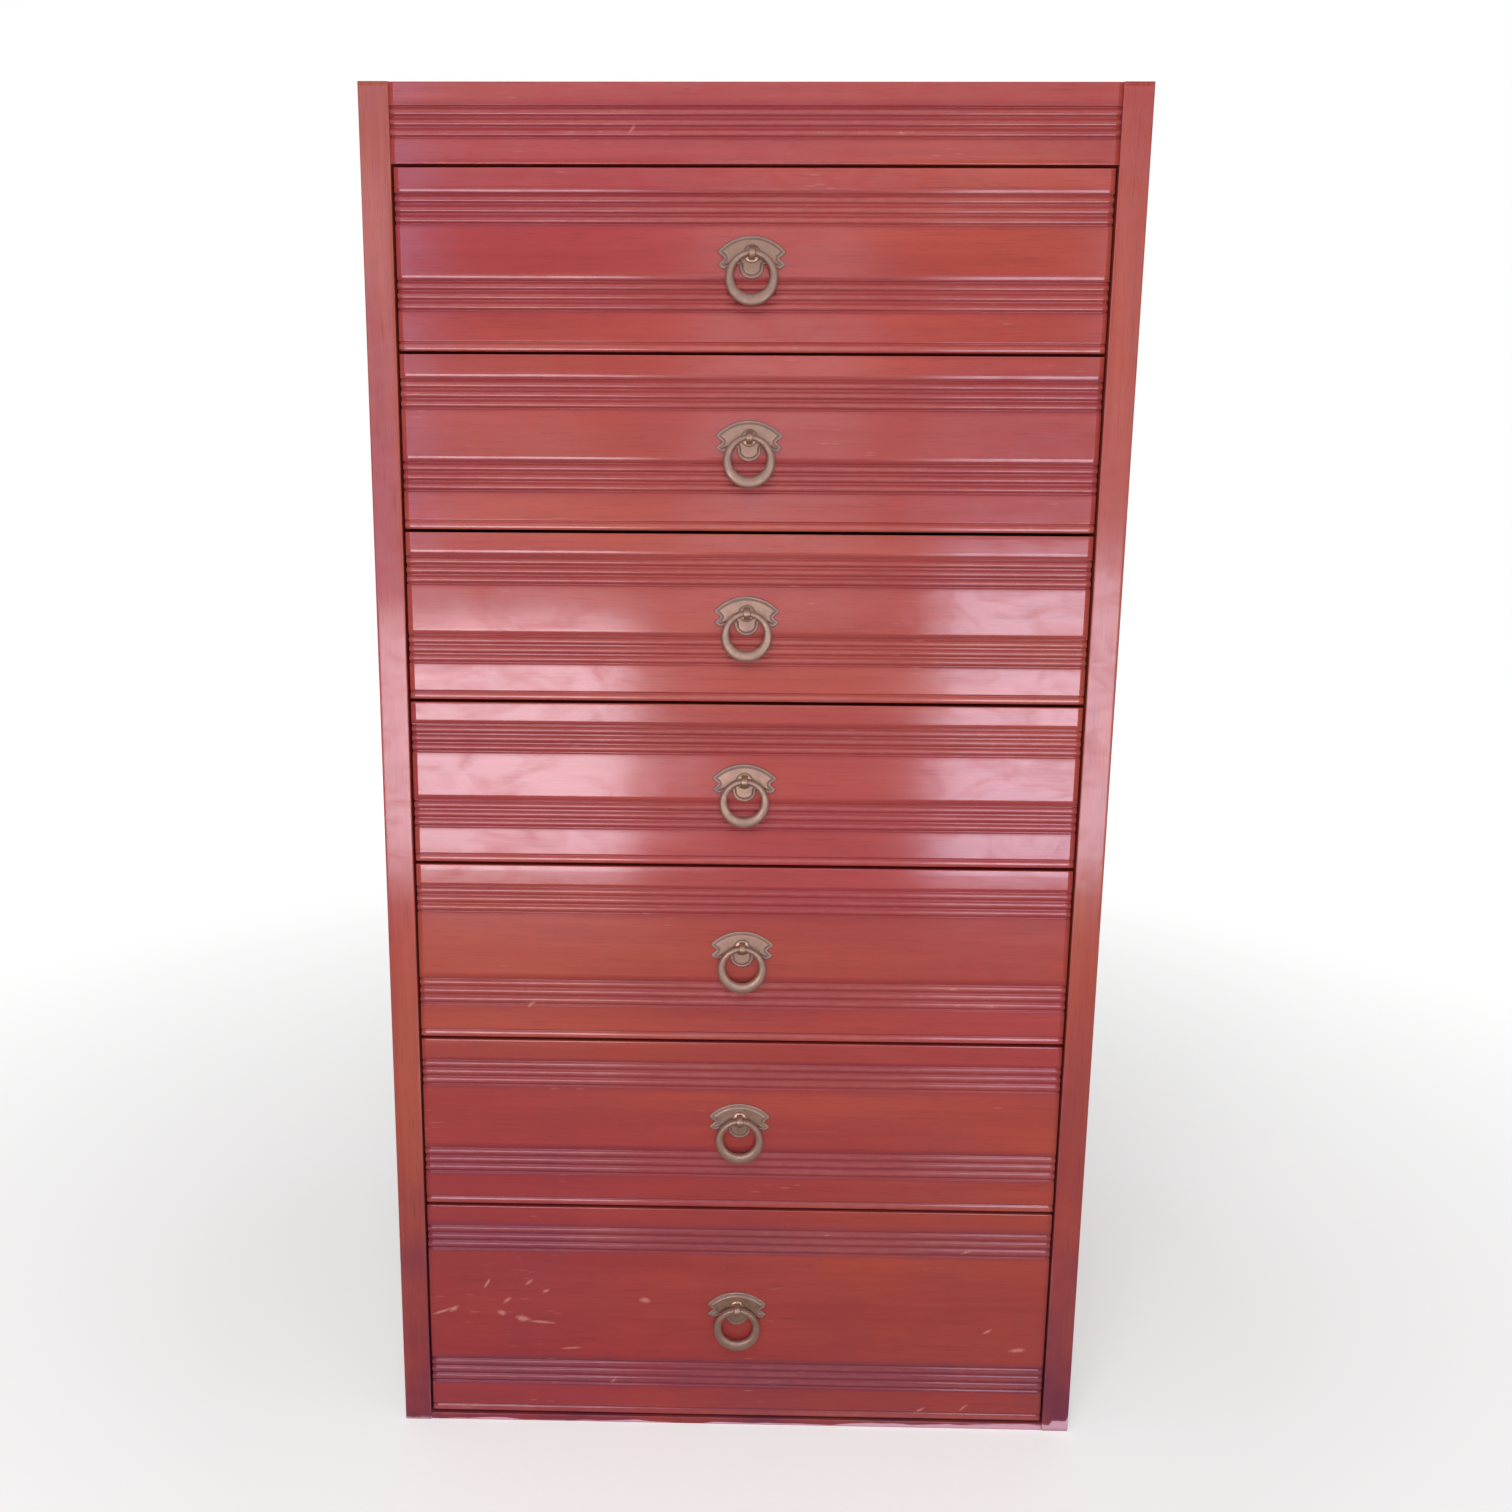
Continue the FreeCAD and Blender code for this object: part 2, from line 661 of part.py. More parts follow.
def drawer_side(size, name, hand):
    """A drawer side. x is 0 on its outer face, y and z are 0 on the front's face and foot."""
    height = side_height(size)
    left = hand < 0
    body = new_body(f"{size}_side_{name}")
    outline = new_sketch(body, "YZ_Plane")
    add_box(outline, "front_thick", DRAWER_LENGTH, "side_drop", f"side_drop + {height}")
    pad(body, outline, "side_wall", flip=not left)

    step = tail_step(size)
    tail_root = f"({step} - pin - 2 * {TAIL_LENGTH} / tail_slope)"
    tail = new_sketch(body, "YZ_Plane")
    add_dovetail(tail, "front_thick", "lap", f"(side_drop + {step} / 2)", tail_root, -1)
    tails = pad(body, tail, "side_wall", flip=not left)
    repeat_up(body, tails, step, tail_count(size))

    for low in rear_groups(size):
        socket = new_sketch(body, "YZ_Plane")
        middle = f"(side_drop + panel_lift + panel + {low})"
        add_dovetail(socket, f"({DRAWER_LENGTH} - back_wall)", DRAWER_LENGTH, middle, "rear_pin", -1)
        cut = pocket(body, socket, "side_wall", flip=left)
        repeat_up(body, cut, rear_step(size), rear_count(size))

    track = new_sketch(body, "YZ_Plane")
    half = "(runner_height / 2 + runner_play / 2)"
    middle = f"(side_drop + {groove_middle(size)})"
    add_box(track, "front_thick", DRAWER_LENGTH, f"{middle} - {half}", f"{middle} + {half}")
    pocket(body, track, "runner_groove", flip=left)

    groove = new_sketch(body, "YZ_Plane", f"{-hand} * side_wall")
    low = "(side_drop + panel_lift)"
    add_box(groove, "front_thick - panel_groove", DRAWER_LENGTH, low, f"{low} + panel")
    pocket(body, groove, "panel_groove", flip=not left)
    place(body, f"{hand} * {FRONT_WIDTH} / 2", "0", "0")
    return body


def drawer_back(size):
    """The back between the sides, with its pins. It stands on the drawer bottom."""
    body = new_body(f"{size}_back")
    outline = new_sketch(body, "YZ_Plane")
    add_box(outline, "0", "back_wall", "0", back_height(size))
    pad(body, outline, INNER_WIDTH, both_ways=True)
    for hand in (-1, 1):
        for low in rear_groups(size):
            pin = new_sketch(body, "YZ_Plane", f"{hand} * {INNER_WIDTH} / 2")
            add_dovetail(pin, "0", "back_wall", low, "rear_pin", -1)
            pins = pad(body, pin, "side_wall", flip=hand < 0)
            repeat_up(body, pins, rear_step(size), rear_count(size))
    place(body, "0", f"{DRAWER_LENGTH} - back_wall", "side_drop + panel_lift + panel")
    return body


def drawer_bottom():
    """The bottom, the same in all drawers, in the grooves of the front and the sides."""
    body = new_body("bottom_panel")
    outline = new_sketch(body, "XY_Plane")
    half = f"({INNER_WIDTH} / 2 + panel_groove - panel_play)"
    start = "front_thick - panel_groove + panel_play"
    add_box(outline, f"-{half}", half, start, DRAWER_LENGTH)
    pad(body, outline, "panel")
    place(body, "0", "0", "side_drop + panel_lift")
    return body


def wooden_pieces(size):
    """The wooden pieces of one drawer, each by the end of its node's name."""
    pieces = {"front": drawer_front(size), "back": drawer_back(size)}
    for name, hand in (("left", -1), ("right", 1)):
        pieces[f"side_{name}"] = drawer_side(size, name, hand)
    return pieces


# The pull. Its pieces share one frame: the origin is on the drawer front's face, level with the
# eye, and -Y is away from the drawer. They are drawn once, and each drawer's nodes hold copies.
# It repeats seven times, so its curves are short chords, apart from the hole that the ring turns in.


def add_flats(sketch, x, y, diameter, flats):
    """A round drawn as a regular polygon: its corners lie on the circle, a flat is on top."""
    corners = []
    for index in range(flats):
        angle = 2 * math.pi * (index + 0.5) / flats + math.pi / 2
        across = f"({x}) + ({diameter}) / 2 * ({math.cos(angle):.9f})"
        corners.append((across, f"({y}) + ({diameter}) / 2 * ({math.sin(angle):.9f})"))
    add_loop(sketch, corners)


def arch_corners(half_width, radius, crown, rising):
    """Corners on a round stretch over x 0, between its ends at plus and minus half_width."""
    corners = []
    for step in range(1, ARCH_CHORDS):
        swing = f"asin({half_width} / {radius}) * {2 * step / ARCH_CHORDS - 1}"
        fall = f"{radius} * (1 - cos({swing}))"
        level = f"{crown} - {fall}" if rising else f"{crown} + {fall}"
        corners.append((f"{radius} * sin({swing})", level))
    return corners


def add_plate_outline(sketch, inset):
    """The winged outline: an arc over the top, a notch in each wing's end, a round tongue."""
    end = f"(plate_width / 2 - {inset})"
    top = f"(plate_top - {inset})"
    tongue = f"(tongue_width / 2 - {inset})"
    round_end = f"({tongue} + tongue_ease)"
    notch = f"(plate_width / 2 - notch_depth - 0.7 * {inset})"
    notch_level = "((wing_top - wing_low) / 2 - 0.2)"
    wing_level = f"(wing_top - {inset} * 0.4)"
    right = [
        (end, wing_level),
        (notch, notch_level),
        (f"({end} - 0.3)", f"(-wing_low + {inset} * 0.3)"),
        (f"({end} - wing_inset)", f"(-wing_foot + {inset} * 0.8)"),
        (tongue, f"(-tongue_root + {inset} * 0.3)"),
        (tongue, f"({inset} - tongue_foot + {round_end} - sqrt({round_end} ^ 2 - {tongue} ^ 2))"),
    ]
    left = [(f"-{x}", y) for x, y in reversed(right)]
    rise = f"({top} - {wing_level})"
    arch = f"(({end} ^ 2 + {rise} ^ 2) / (2 * {rise}))"
    over = arch_corners(end, arch, top, True)
    under = arch_corners(tongue, round_end, f"({inset} - tongue_foot)", False)
    add_loop(sketch, right + under[::-1] + left + over)


def pull_sheet():
    """The winged plate with its raised fan and a square hole for the eye's neck."""
    body = new_body("pull_sheet")
    outline = new_sketch(body, "XZ_Plane")
    add_plate_outline(outline, "0")
    pad(body, outline, "plate_thick")
    fan = new_sketch(body, "XZ_Plane", "plate_thick")
    add_plate_outline(fan, "fan_rim")
    pad(body, fan, "fan_rise")
    hole = new_sketch(body, "XZ_Plane")
    half = "(neck_width + shank_play) / 2"
    add_box(hole, f"-{half}", half, f"-{half}", half)
    pocket(body, hole, "through", flip=True)
    return body


def pull_eye():
    """The cast eye: a round-ended lug with the ring's hole, on a collar, a neck and a shank."""
    body = new_body("pull_eye")
    lug = new_sketch(body, "YZ_Plane")
    half = f"({EYE_WIDTH} / 2)"
    corners = [(f"-{FAN_FACE}", f"-{half}"), (f"-{FAN_FACE}", half)]
    for step in range(LUG_CHORDS + 1):
        angle = math.pi * (0.5 - step / LUG_CHORDS)
        corners.append((f"-{EYE_REACH} - {half} * ({math.cos(angle):.9f})",
                        f"{half} * ({math.sin(angle):.9f})"))
    add_loop(lug, corners)
    pad(body, lug, "eye_thick", both_ways=True)
    collar = new_sketch(body, "XZ_Plane", FAN_FACE)
    add_flats(collar, "0", "0", "collar_width", FLATS)
    pad(body, collar, "collar_thick")
    neck = new_sketch(body, "XZ_Plane", FAN_FACE)
    add_box(neck, "-neck_width / 2", "neck_width / 2", "-neck_width / 2", "neck_width / 2")
    pad(body, neck, FAN_FACE, flip=True)
    shank = new_sketch(body, "XZ_Plane")
    add_flats(shank, "0", "0", "shank_width", FLATS)
    pad(body, shank, "front_thick + nut_thick + shank_end", flip=True)
    hole = new_sketch(body, "YZ_Plane")
    add_circle(hole, f"-{EYE_REACH}", "0", EYE_HOLE)
    pocket(body, hole, "eye_thick", both_ways=True)
    return body


def pull_nut():
    """The square nut inside the drawer."""
    body = new_body("pull_nut")
    outline = new_sketch(body, "XZ_Plane", "-front_thick")
    half = "nut_width / 2"
    add_box(outline, f"-{half}", half, f"-{half}", half)
    add_flats(outline, "0", "0", "shank_width + shank_play / 2", FLATS)
    pad(body, outline, "nut_thick", flip=True)
    return body


def pull_hoop():
    """The ring: its hole stands a little high, so it is thin in the eye and thick at the foot."""
    body = new_body("pull_hoop")
    outline = new_sketch(body, "XZ_Plane", EYE_REACH)
    outer_low = "(-2 * ring_radius - ring_foot / 2)"
    inner_low = "(-2 * ring_radius + ring_foot / 2)"
    outer_high = "(ring_top / 2)"
    inner_high = "(-ring_top / 2)"
    for low, high in ((outer_low, outer_high), (inner_low, inner_high)):
        add_flats(outline, "0", f"({low} + {high}) / 2", f"{high} - {low}", RING_CHORDS)
    pad(body, outline, "ring_thick", both_ways=True)
    face = f"-({EYE_REACH} - ring_thick / 2)"
    far_face = f"-({EYE_REACH} + ring_thick / 2)"
    bevel_edges(body, "ring_bevel", lambda a, b: level(a, b, "y", face) or level(a, b, "y", far_face))
    return body


def copy_of(index, name, things, rise="0"):
    """One drawer's copy of some pieces, as separate solids in one node."""
    group = doc.addObject("Part::Compound", f"Drawer{index + 1}{name.title()}")
    group.Label = f"drawer_{index + 1}_{name}"
    group.Links = things
    place(group, "0", FRONT_FACE, f"{front_low(index)} + {rise}")
    return group


def build_case():
    pieces = [top_rail(), top_board(), bottom_board(), back_nails()]
    pieces += [back_board(position) for position in range(len(BACK_BOARDS))]
    for name, hand in (("left", -1), ("right", 1)):
        pieces += [side_board(name, hand), runners(name, hand)]
    return pieces


def build_drawers():
    wood = {size: wooden_pieces(size) for size in sorted(set(DRAWERS))}
    bottom = drawer_bottom()
    fittings = [pull_sheet(), pull_eye(), pull_nut()]
    hoop = pull_hoop()
    pieces = []
    for index, size in enumerate(DRAWERS):
        for name, piece in wood[size].items():
            pieces.append(copy_of(index, name, [piece]))
        pieces.append(copy_of(index, "bottom", [bottom]))
        eye_level = f"({size}_front - {size}_pull)"
        pieces.append(copy_of(index, "pull_plate", fittings, eye_level))
        pieces.append(copy_of(index, "pull_ring", [hoop], eye_level))
    return pieces


def check(pieces):
    """Stops on a failed feature, a cut that took nothing off, or an unsound piece."""
    for thing in doc.Objects:
        if {"Invalid", "Error"} & set(thing.State):
            raise RuntimeError(f"{thing.Label} failed: {thing.State}")
        if thing.TypeId == "PartDesign::Pocket":
            if thing.Shape.Volume > thing.BaseFeature.Shape.Volume - 1e-3:
                raise RuntimeError(f"{thing.Label} of {thing.getParentGeoFeatureGroup().Label} cuts nothing")
    for piece in pieces:
        if piece.Shape.isNull() or not piece.Shape.isValid() or not piece.Shape.Solids:
            raise RuntimeError(f"{piece.Label} has no sound shape")


fill_sheet()
parts = build_case() + build_drawers()
doc.recompute()
check(parts)
os.makedirs("parts", exist_ok=True)
for part in parts:
    part.Shape.exportStep(os.path.join("parts", f"{part.Label}.step"))
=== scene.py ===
import json
import math

import bpy
import numpy as np
from bpy.props import FloatProperty, FloatVectorProperty, PointerProperty
from mathutils import Matrix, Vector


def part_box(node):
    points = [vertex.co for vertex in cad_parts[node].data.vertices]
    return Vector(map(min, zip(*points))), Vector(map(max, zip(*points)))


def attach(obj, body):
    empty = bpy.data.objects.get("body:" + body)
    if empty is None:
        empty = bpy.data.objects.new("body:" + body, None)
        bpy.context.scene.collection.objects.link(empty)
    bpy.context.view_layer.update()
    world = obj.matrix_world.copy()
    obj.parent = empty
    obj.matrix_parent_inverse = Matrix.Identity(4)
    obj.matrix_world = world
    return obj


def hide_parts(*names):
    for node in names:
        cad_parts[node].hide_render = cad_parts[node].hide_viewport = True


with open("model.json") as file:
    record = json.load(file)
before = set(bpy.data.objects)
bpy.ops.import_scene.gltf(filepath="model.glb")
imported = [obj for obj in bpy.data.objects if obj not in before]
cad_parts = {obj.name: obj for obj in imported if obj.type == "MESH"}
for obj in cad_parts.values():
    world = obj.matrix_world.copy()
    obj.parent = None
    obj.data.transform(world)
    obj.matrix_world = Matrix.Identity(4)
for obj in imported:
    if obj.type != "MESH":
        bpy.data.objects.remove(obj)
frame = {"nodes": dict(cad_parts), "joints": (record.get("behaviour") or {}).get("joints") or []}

bl_info = {
    "name": "Reeded Chest Looks",
    "version": (1, 0, 0),
    "blender": (4, 5, 0),
    "location": "View3D > Sidebar > Reeded Chest",
    "description": "Dresses a tall chest with seven reeded drawers and brass ring pulls",
    "category": "Object",
}

# All lengths are in metres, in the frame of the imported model.
MM = 0.001
DRAWERS = range(1, 8)
SIDES = ("left", "right")


# What the frame tells

def eye_of(drawer):
    """The middle of the ring's hole in one drawer's eye, from the hinge that the ring swings on."""
    for joint in frame["joints"]:
        if joint["name"] == f"drawer_{drawer}_ring_swing":
            return np.array(joint["pos_m"])
    raise RuntimeError(f"the frame has no ring on drawer {drawer}")


def corners(node):
    """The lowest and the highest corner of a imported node, as arrays."""
    low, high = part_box(node)
    return np.array(low), np.array(high)


# The sizes and colours that a user would change

def length(name, description, default):
    return FloatProperty(name=name, description=description, default=default,
                         unit="LENGTH", precision=5)


def share(name, description, default):
    return FloatProperty(name=name, description=description, default=default,
                         min=0.0, max=1.0, subtype="FACTOR")


def colour(name, description, default):
    return FloatVectorProperty(name=name, description=description, default=default,
                               size=3, min=0.0, max=1.0, subtype="COLOR")


class MouldingSizes(bpy.types.PropertyGroup):
    """The reeded section of the fronts and the rail, and how it has worn."""
    reed_pitch: length("Reed pitch", "Distance from reed to reed", 7 * MM)
    reed_width: length("Reed width", "Width of one reed", 5.4 * MM)
    reed_rise: length("Reed rise", "Depth of the grooves beside a reed", 2 * MM)
    top_margin: length("Top margin", "Plain wood above the upper band", 17.3 * MM)
    foot_margin: length("Foot margin", "Wood below the lower band", 27.7 * MM)
    rail_margin: length("Rail margin", "Plain wood above the band of the rail", 15.7 * MM)
    bead_width: length("Bead width", "Width of the bead along the foot of a front", 5.6 * MM)
    quirk: length("Quirk", "Width of the sunk line above the bead", 1.4 * MM)
    wall_slope: length("Wall slope", "Width of a groove's worn wall", 0.45 * MM)
    arris: length("Arris", "Radius of the long edges", 1 * MM)
    skin_depth: length("Skin depth", "How far the moulded skin reaches back", 5 * MM)
    proud: length("Proud", "How far the skin stands over the solid wood", 0.12 * MM)


class PullSizes(bpy.types.PropertyGroup):
    """The winged plate, the eye, its nut and the ring."""
    plate_width: length("Plate width", "Width over the wings", 51 * MM)
    plate_top: length("Plate top", "Top of the plate above the eye", 13 * MM)
    tongue_width: length("Tongue width", "Width of the tongue under the eye", 18 * MM)
    tongue_foot: length("Tongue foot", "End of the tongue below the eye", 17 * MM)
    plate_thick: length("Plate thickness", "Thickness of the rim", 1.5 * MM)
    fan_rise: length("Fan rise", "Height of the raised fan on the plate", 0.9 * MM)
    fan_rim: length("Fan rim", "Rim of the plate round the fan", 2.6 * MM)
    collar_width: length("Collar width", "Diameter of the eye's collar", 13 * MM)
    collar_thick: length("Collar thickness", "Thickness of the collar", 1.2 * MM)
    lug_thick: length("Lug thickness", "Thickness of the eye's lug", 5 * MM)
    lug_radius: length("Lug radius", "Outer radius of the lug round the hole", 4.8 * MM)
    hole_radius: length("Hole radius", "Radius of the hole for the ring", 3.22 * MM)
    shank_width: length("Shank width", "Diameter of the shank", 4 * MM)
    nut_width: length("Nut width", "Width of the square nut", 9 * MM)
    nut_thick: length("Nut thickness", "Thickness of the nut", 3 * MM)
    ring_radius: length("Ring radius", "Radius of the ring's centre line", 16.4 * MM)
    ring_top: length("Ring top", "Height of the ring's section in the eye", 4.4 * MM)
    ring_foot: length("Ring foot", "Height of the ring's section at its foot", 8.2 * MM)
    ring_thick: length("Ring thickness", "Ring from front to back", 5 * MM)


class WoodColours(bpy.types.PropertyGroup):
    """The polished and the bare woods."""
    crimson: colour("Crimson", "Cool ground of the polished fronts", (0.44, 0.050, 0.052))
    orange: colour("Orange", "Warm clouds in the polished fronts", (0.49, 0.080, 0.045))
    deep: colour("Deep red", "Dark bands of the figure", (0.29, 0.026, 0.028))
    case_red: colour("Case red", "Cool ground of the side boards", (0.44, 0.060, 0.052))
    case_orange: colour("Case orange", "Warm clouds in the side boards", (0.52, 0.12, 0.06))
    bare_wood: colour("Bare wood", "Where the polish is rubbed or chipped off", (0.66, 0.27, 0.22))
    # The lilac white of the scuffed wood is partly a painted bluish highlight.
    scuffed: colour("Scuffed", "Lilac white of the wood scuffed at the floor", (0.78, 0.46, 0.58))
    oak: colour("Oak", "Ground colour of the drawer sides", (0.50, 0.32, 0.16))
    panel: colour("Panel", "Ground colour of the drawer bottoms", (0.54, 0.36, 0.20))
    pine: colour("Pine", "Ground colour of the back and top boards", (0.52, 0.33, 0.17))
    runner: colour("Runner", "Ground colour of the runners", (0.44, 0.27, 0.13))
    dirt: colour("Dirt", "Old wax in the pores", (0.10, 0.013, 0.015))
    # The smear colour is old wax in the bands, and also painted shade: in the grooves by their
    # depth, towards the floor and at the side boards' top corners.
    smear: colour("Smear", "Purple bloom of old wax in the bands and near the floor",
                  (0.165, 0.033, 0.068))
    dust: colour("Dust", "Grey dust on the bare boards", (0.30, 0.23, 0.17))
    polish: share("Polish", "Strength of the clear polish", 0.85)


class MetalColours(bpy.types.PropertyGroup):
    """The brass of the pulls and the iron of the nails."""
    brass: colour("Brass", "Rubbed brass", (0.55, 0.34, 0.23))
    tarnish: colour("Tarnish", "Brown tarnish in the hollows", (0.26, 0.155, 0.15))
    iron: colour("Iron", "Dull iron", (0.09, 0.075, 0.065))
    rust: colour("Rust", "Rust on the nails", (0.19, 0.075, 0.035))


class StudioSizes(bpy.types.PropertyGroup):
    """The camera, the lamps and the room."""
    lens: FloatProperty(name="Lens", description="Focal length on a 36 mm frame",
                        default=29.12, subtype="DISTANCE_CAMERA")
    room_light: share("Room light", "Strength of the light from all round", 0.40)
    dim_front: share("Dim front", "What the polish shows of the room before the chest", 0.10)
    key_power: FloatProperty(name="Key power", description="Soft lamp high at the upper left",
                             default=16.0, unit="POWER")
    fill_power: FloatProperty(name="Fill power", description="Soft lamp before the chest",
                              default=19.0, unit="POWER")
    gloss: FloatProperty(name="Gloss", description="Brightness of the windows in the polish",
                         default=6.0, min=0.0)


GROUPS = {
    "chest_moulding": MouldingSizes,
    "chest_pull": PullSizes,
    "chest_wood": WoodColours,
    "chest_metal": MetalColours,
    "chest_studio": StudioSizes,
}


def setting(word):
    """One property group of the open scene."""
    return getattr(bpy.context.scene, f"chest_{word}")


# Surfaces

def wander(along, seed, reach):
    """A slow random line: four sine waves, each shorter and lower, with seeded phases."""
    dice = np.random.default_rng(seed)
    total = np.zeros_like(along)
    for step in range(4):
        total += np.sin(2 * np.pi * (along * 1.7 ** step / reach + dice.random())) / 1.6 ** step
    return total / 2.3


def smooth(value):
    """0 below 0, 1 above 1, and the curve 3t^2 - 2t^3 between."""
    t = np.clip(value, 0, 1)
    return t * t * (3 - 2 * t)


def rounded(angle, power):
    """Cosine and sine of an angle, each raised to 2 / power with its sign kept.

    Power 2 is a circle, and larger powers go towards a square."""
    across, up = np.cos(angle), np.sin(angle)
    return (np.sign(across) * np.abs(across) ** (2 / power),
            np.sign(up) * np.abs(up) ** (2 / power))


def shell_faces(rows, columns, closed, first):
    """Quads of a grid whose columns close on themselves, and its two ends as whole faces."""
    index = first + np.arange(rows * columns).reshape(rows, columns)
    across = np.roll(index, -1, axis=1)
    here, there = index, np.roll(index, -1, axis=0)
    far = np.roll(across, -1, axis=0)
    last = rows if closed else rows - 1
    quads = np.stack([here, across, far, there], axis=-1)[:last].reshape(-1, 4).tolist()
    if not closed:
        quads += [index[0, ::-1].tolist(), index[-1].tolist()]
    return quads


def face_outwards(mesh):
    """Turns the faces round where the volume that they enclose comes out negative."""
    mesh.calc_loop_triangles()
    corner = np.empty(len(mesh.loop_triangles) * 3, np.int32)
    mesh.loop_triangles.foreach_get("vertices", corner)
    point = np.empty(len(mesh.vertices) * 3)
    mesh.vertices.foreach_get("co", point)
    a, b, c = point.reshape(-1, 3)[corner.reshape(-1, 3)].transpose(1, 0, 2)
    if np.einsum("ij,ij->", a, np.cross(b, c)) < 0:
        mesh.flip_normals()


def add_piece(name, shells, body, material, marks=None, replaced=None):
    """An object from closed grids of points, each (rows, columns, 3) and whether its rows close.

    marks are values for each point, kept as attributes that the materials read, and replaced is
    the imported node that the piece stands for."""
    points, faces = [], []
    count = 0
    for grid, closed in shells:
        rows, columns = grid.shape[:2]
        faces += shell_faces(rows, columns, closed, count)
        points.append(grid.reshape(-1, 3))
        count += rows * columns
    mesh = bpy.data.meshes.new(name)
    mesh.from_pydata(np.concatenate(points).tolist(), [], faces)
    face_outwards(mesh)
    for word, values in (marks or {}).items():
        layer = mesh.attributes.new(word, "FLOAT", "POINT")
        layer.data.foreach_set("value", values.ravel().astype(np.float32))
    mesh.polygons.foreach_set("use_smooth", [True] * len(mesh.polygons))
    mesh.materials.append(material)
    thing = bpy.data.objects.new(name, mesh)
    bpy.context.scene.collection.objects.link(thing)
    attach(thing, body)
    if replaced:
        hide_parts(replaced)


# The mouldings

def reed_depth(offset, width, rise):
    """Depth of a reed below its crest: radius - sqrt(radius^2 - offset^2), and rise beside it."""
    radius = ((width / 2) ** 2 + rise ** 2) / (2 * rise)
    arc = radius - np.sqrt(np.maximum(radius ** 2 - offset ** 2, 0))
    return np.where(np.abs(offset) < width / 2, np.minimum(arc, rise), rise)


def band_height(sizes):
    return 4 * sizes.reed_pitch - sizes.reed_width


def moulding_depth(up, sizes, bands, bead):
    """Depth of the worn face at the heights up.

    In a band it is the least of the three reeds' depths and of the two sloping walls, and the
    bead at the foot is one wider reed. Elsewhere the face is plain."""
    rise = sizes.reed_rise
    depth = np.zeros_like(up)
    for low in bands:
        band = np.full_like(up, rise)
        for reed in range(3):
            middle = low + sizes.reed_pitch * (reed + 1) - sizes.reed_width / 2
            band = np.minimum(band, reed_depth(up - middle, sizes.reed_width, rise))
        wall = smooth((up - low) / sizes.wall_slope)
        wall *= smooth((low + band_height(sizes) - up) / sizes.wall_slope)
        depth = np.maximum(depth, np.minimum(band, rise * wall))
    if bead:
        nose = reed_depth(up - sizes.bead_width / 2, sizes.bead_width, rise)
        wall = smooth((sizes.bead_width + sizes.quirk - up) / sizes.wall_slope)
        depth = np.maximum(depth, np.minimum(nose, rise * wall))
    return depth


def section_heights(height, sizes, bands, bead):
    """Heights at which the section is taken: fine in the bands and at the edges, else coarse."""
    fine, coarse = 0.4 * MM, min(5 * MM, height / 8)
    stretches = [np.arange(0, height, coarse), [height]]
    stretches += [np.arange(low - fine, low + band_height(sizes) + fine, fine) for low in bands]
    edge = sizes.arris * (1 - np.cos(np.linspace(0, np.pi / 2, 5)))
    stretches += [edge, height - edge]
    if bead:
        stretches.append(np.arange(0, sizes.bead_width + 2 * sizes.quirk, fine))
    heights = np.sort(np.concatenate(stretches))
    return heights[np.append(True, np.diff(heights) > 0.02 * MM)]


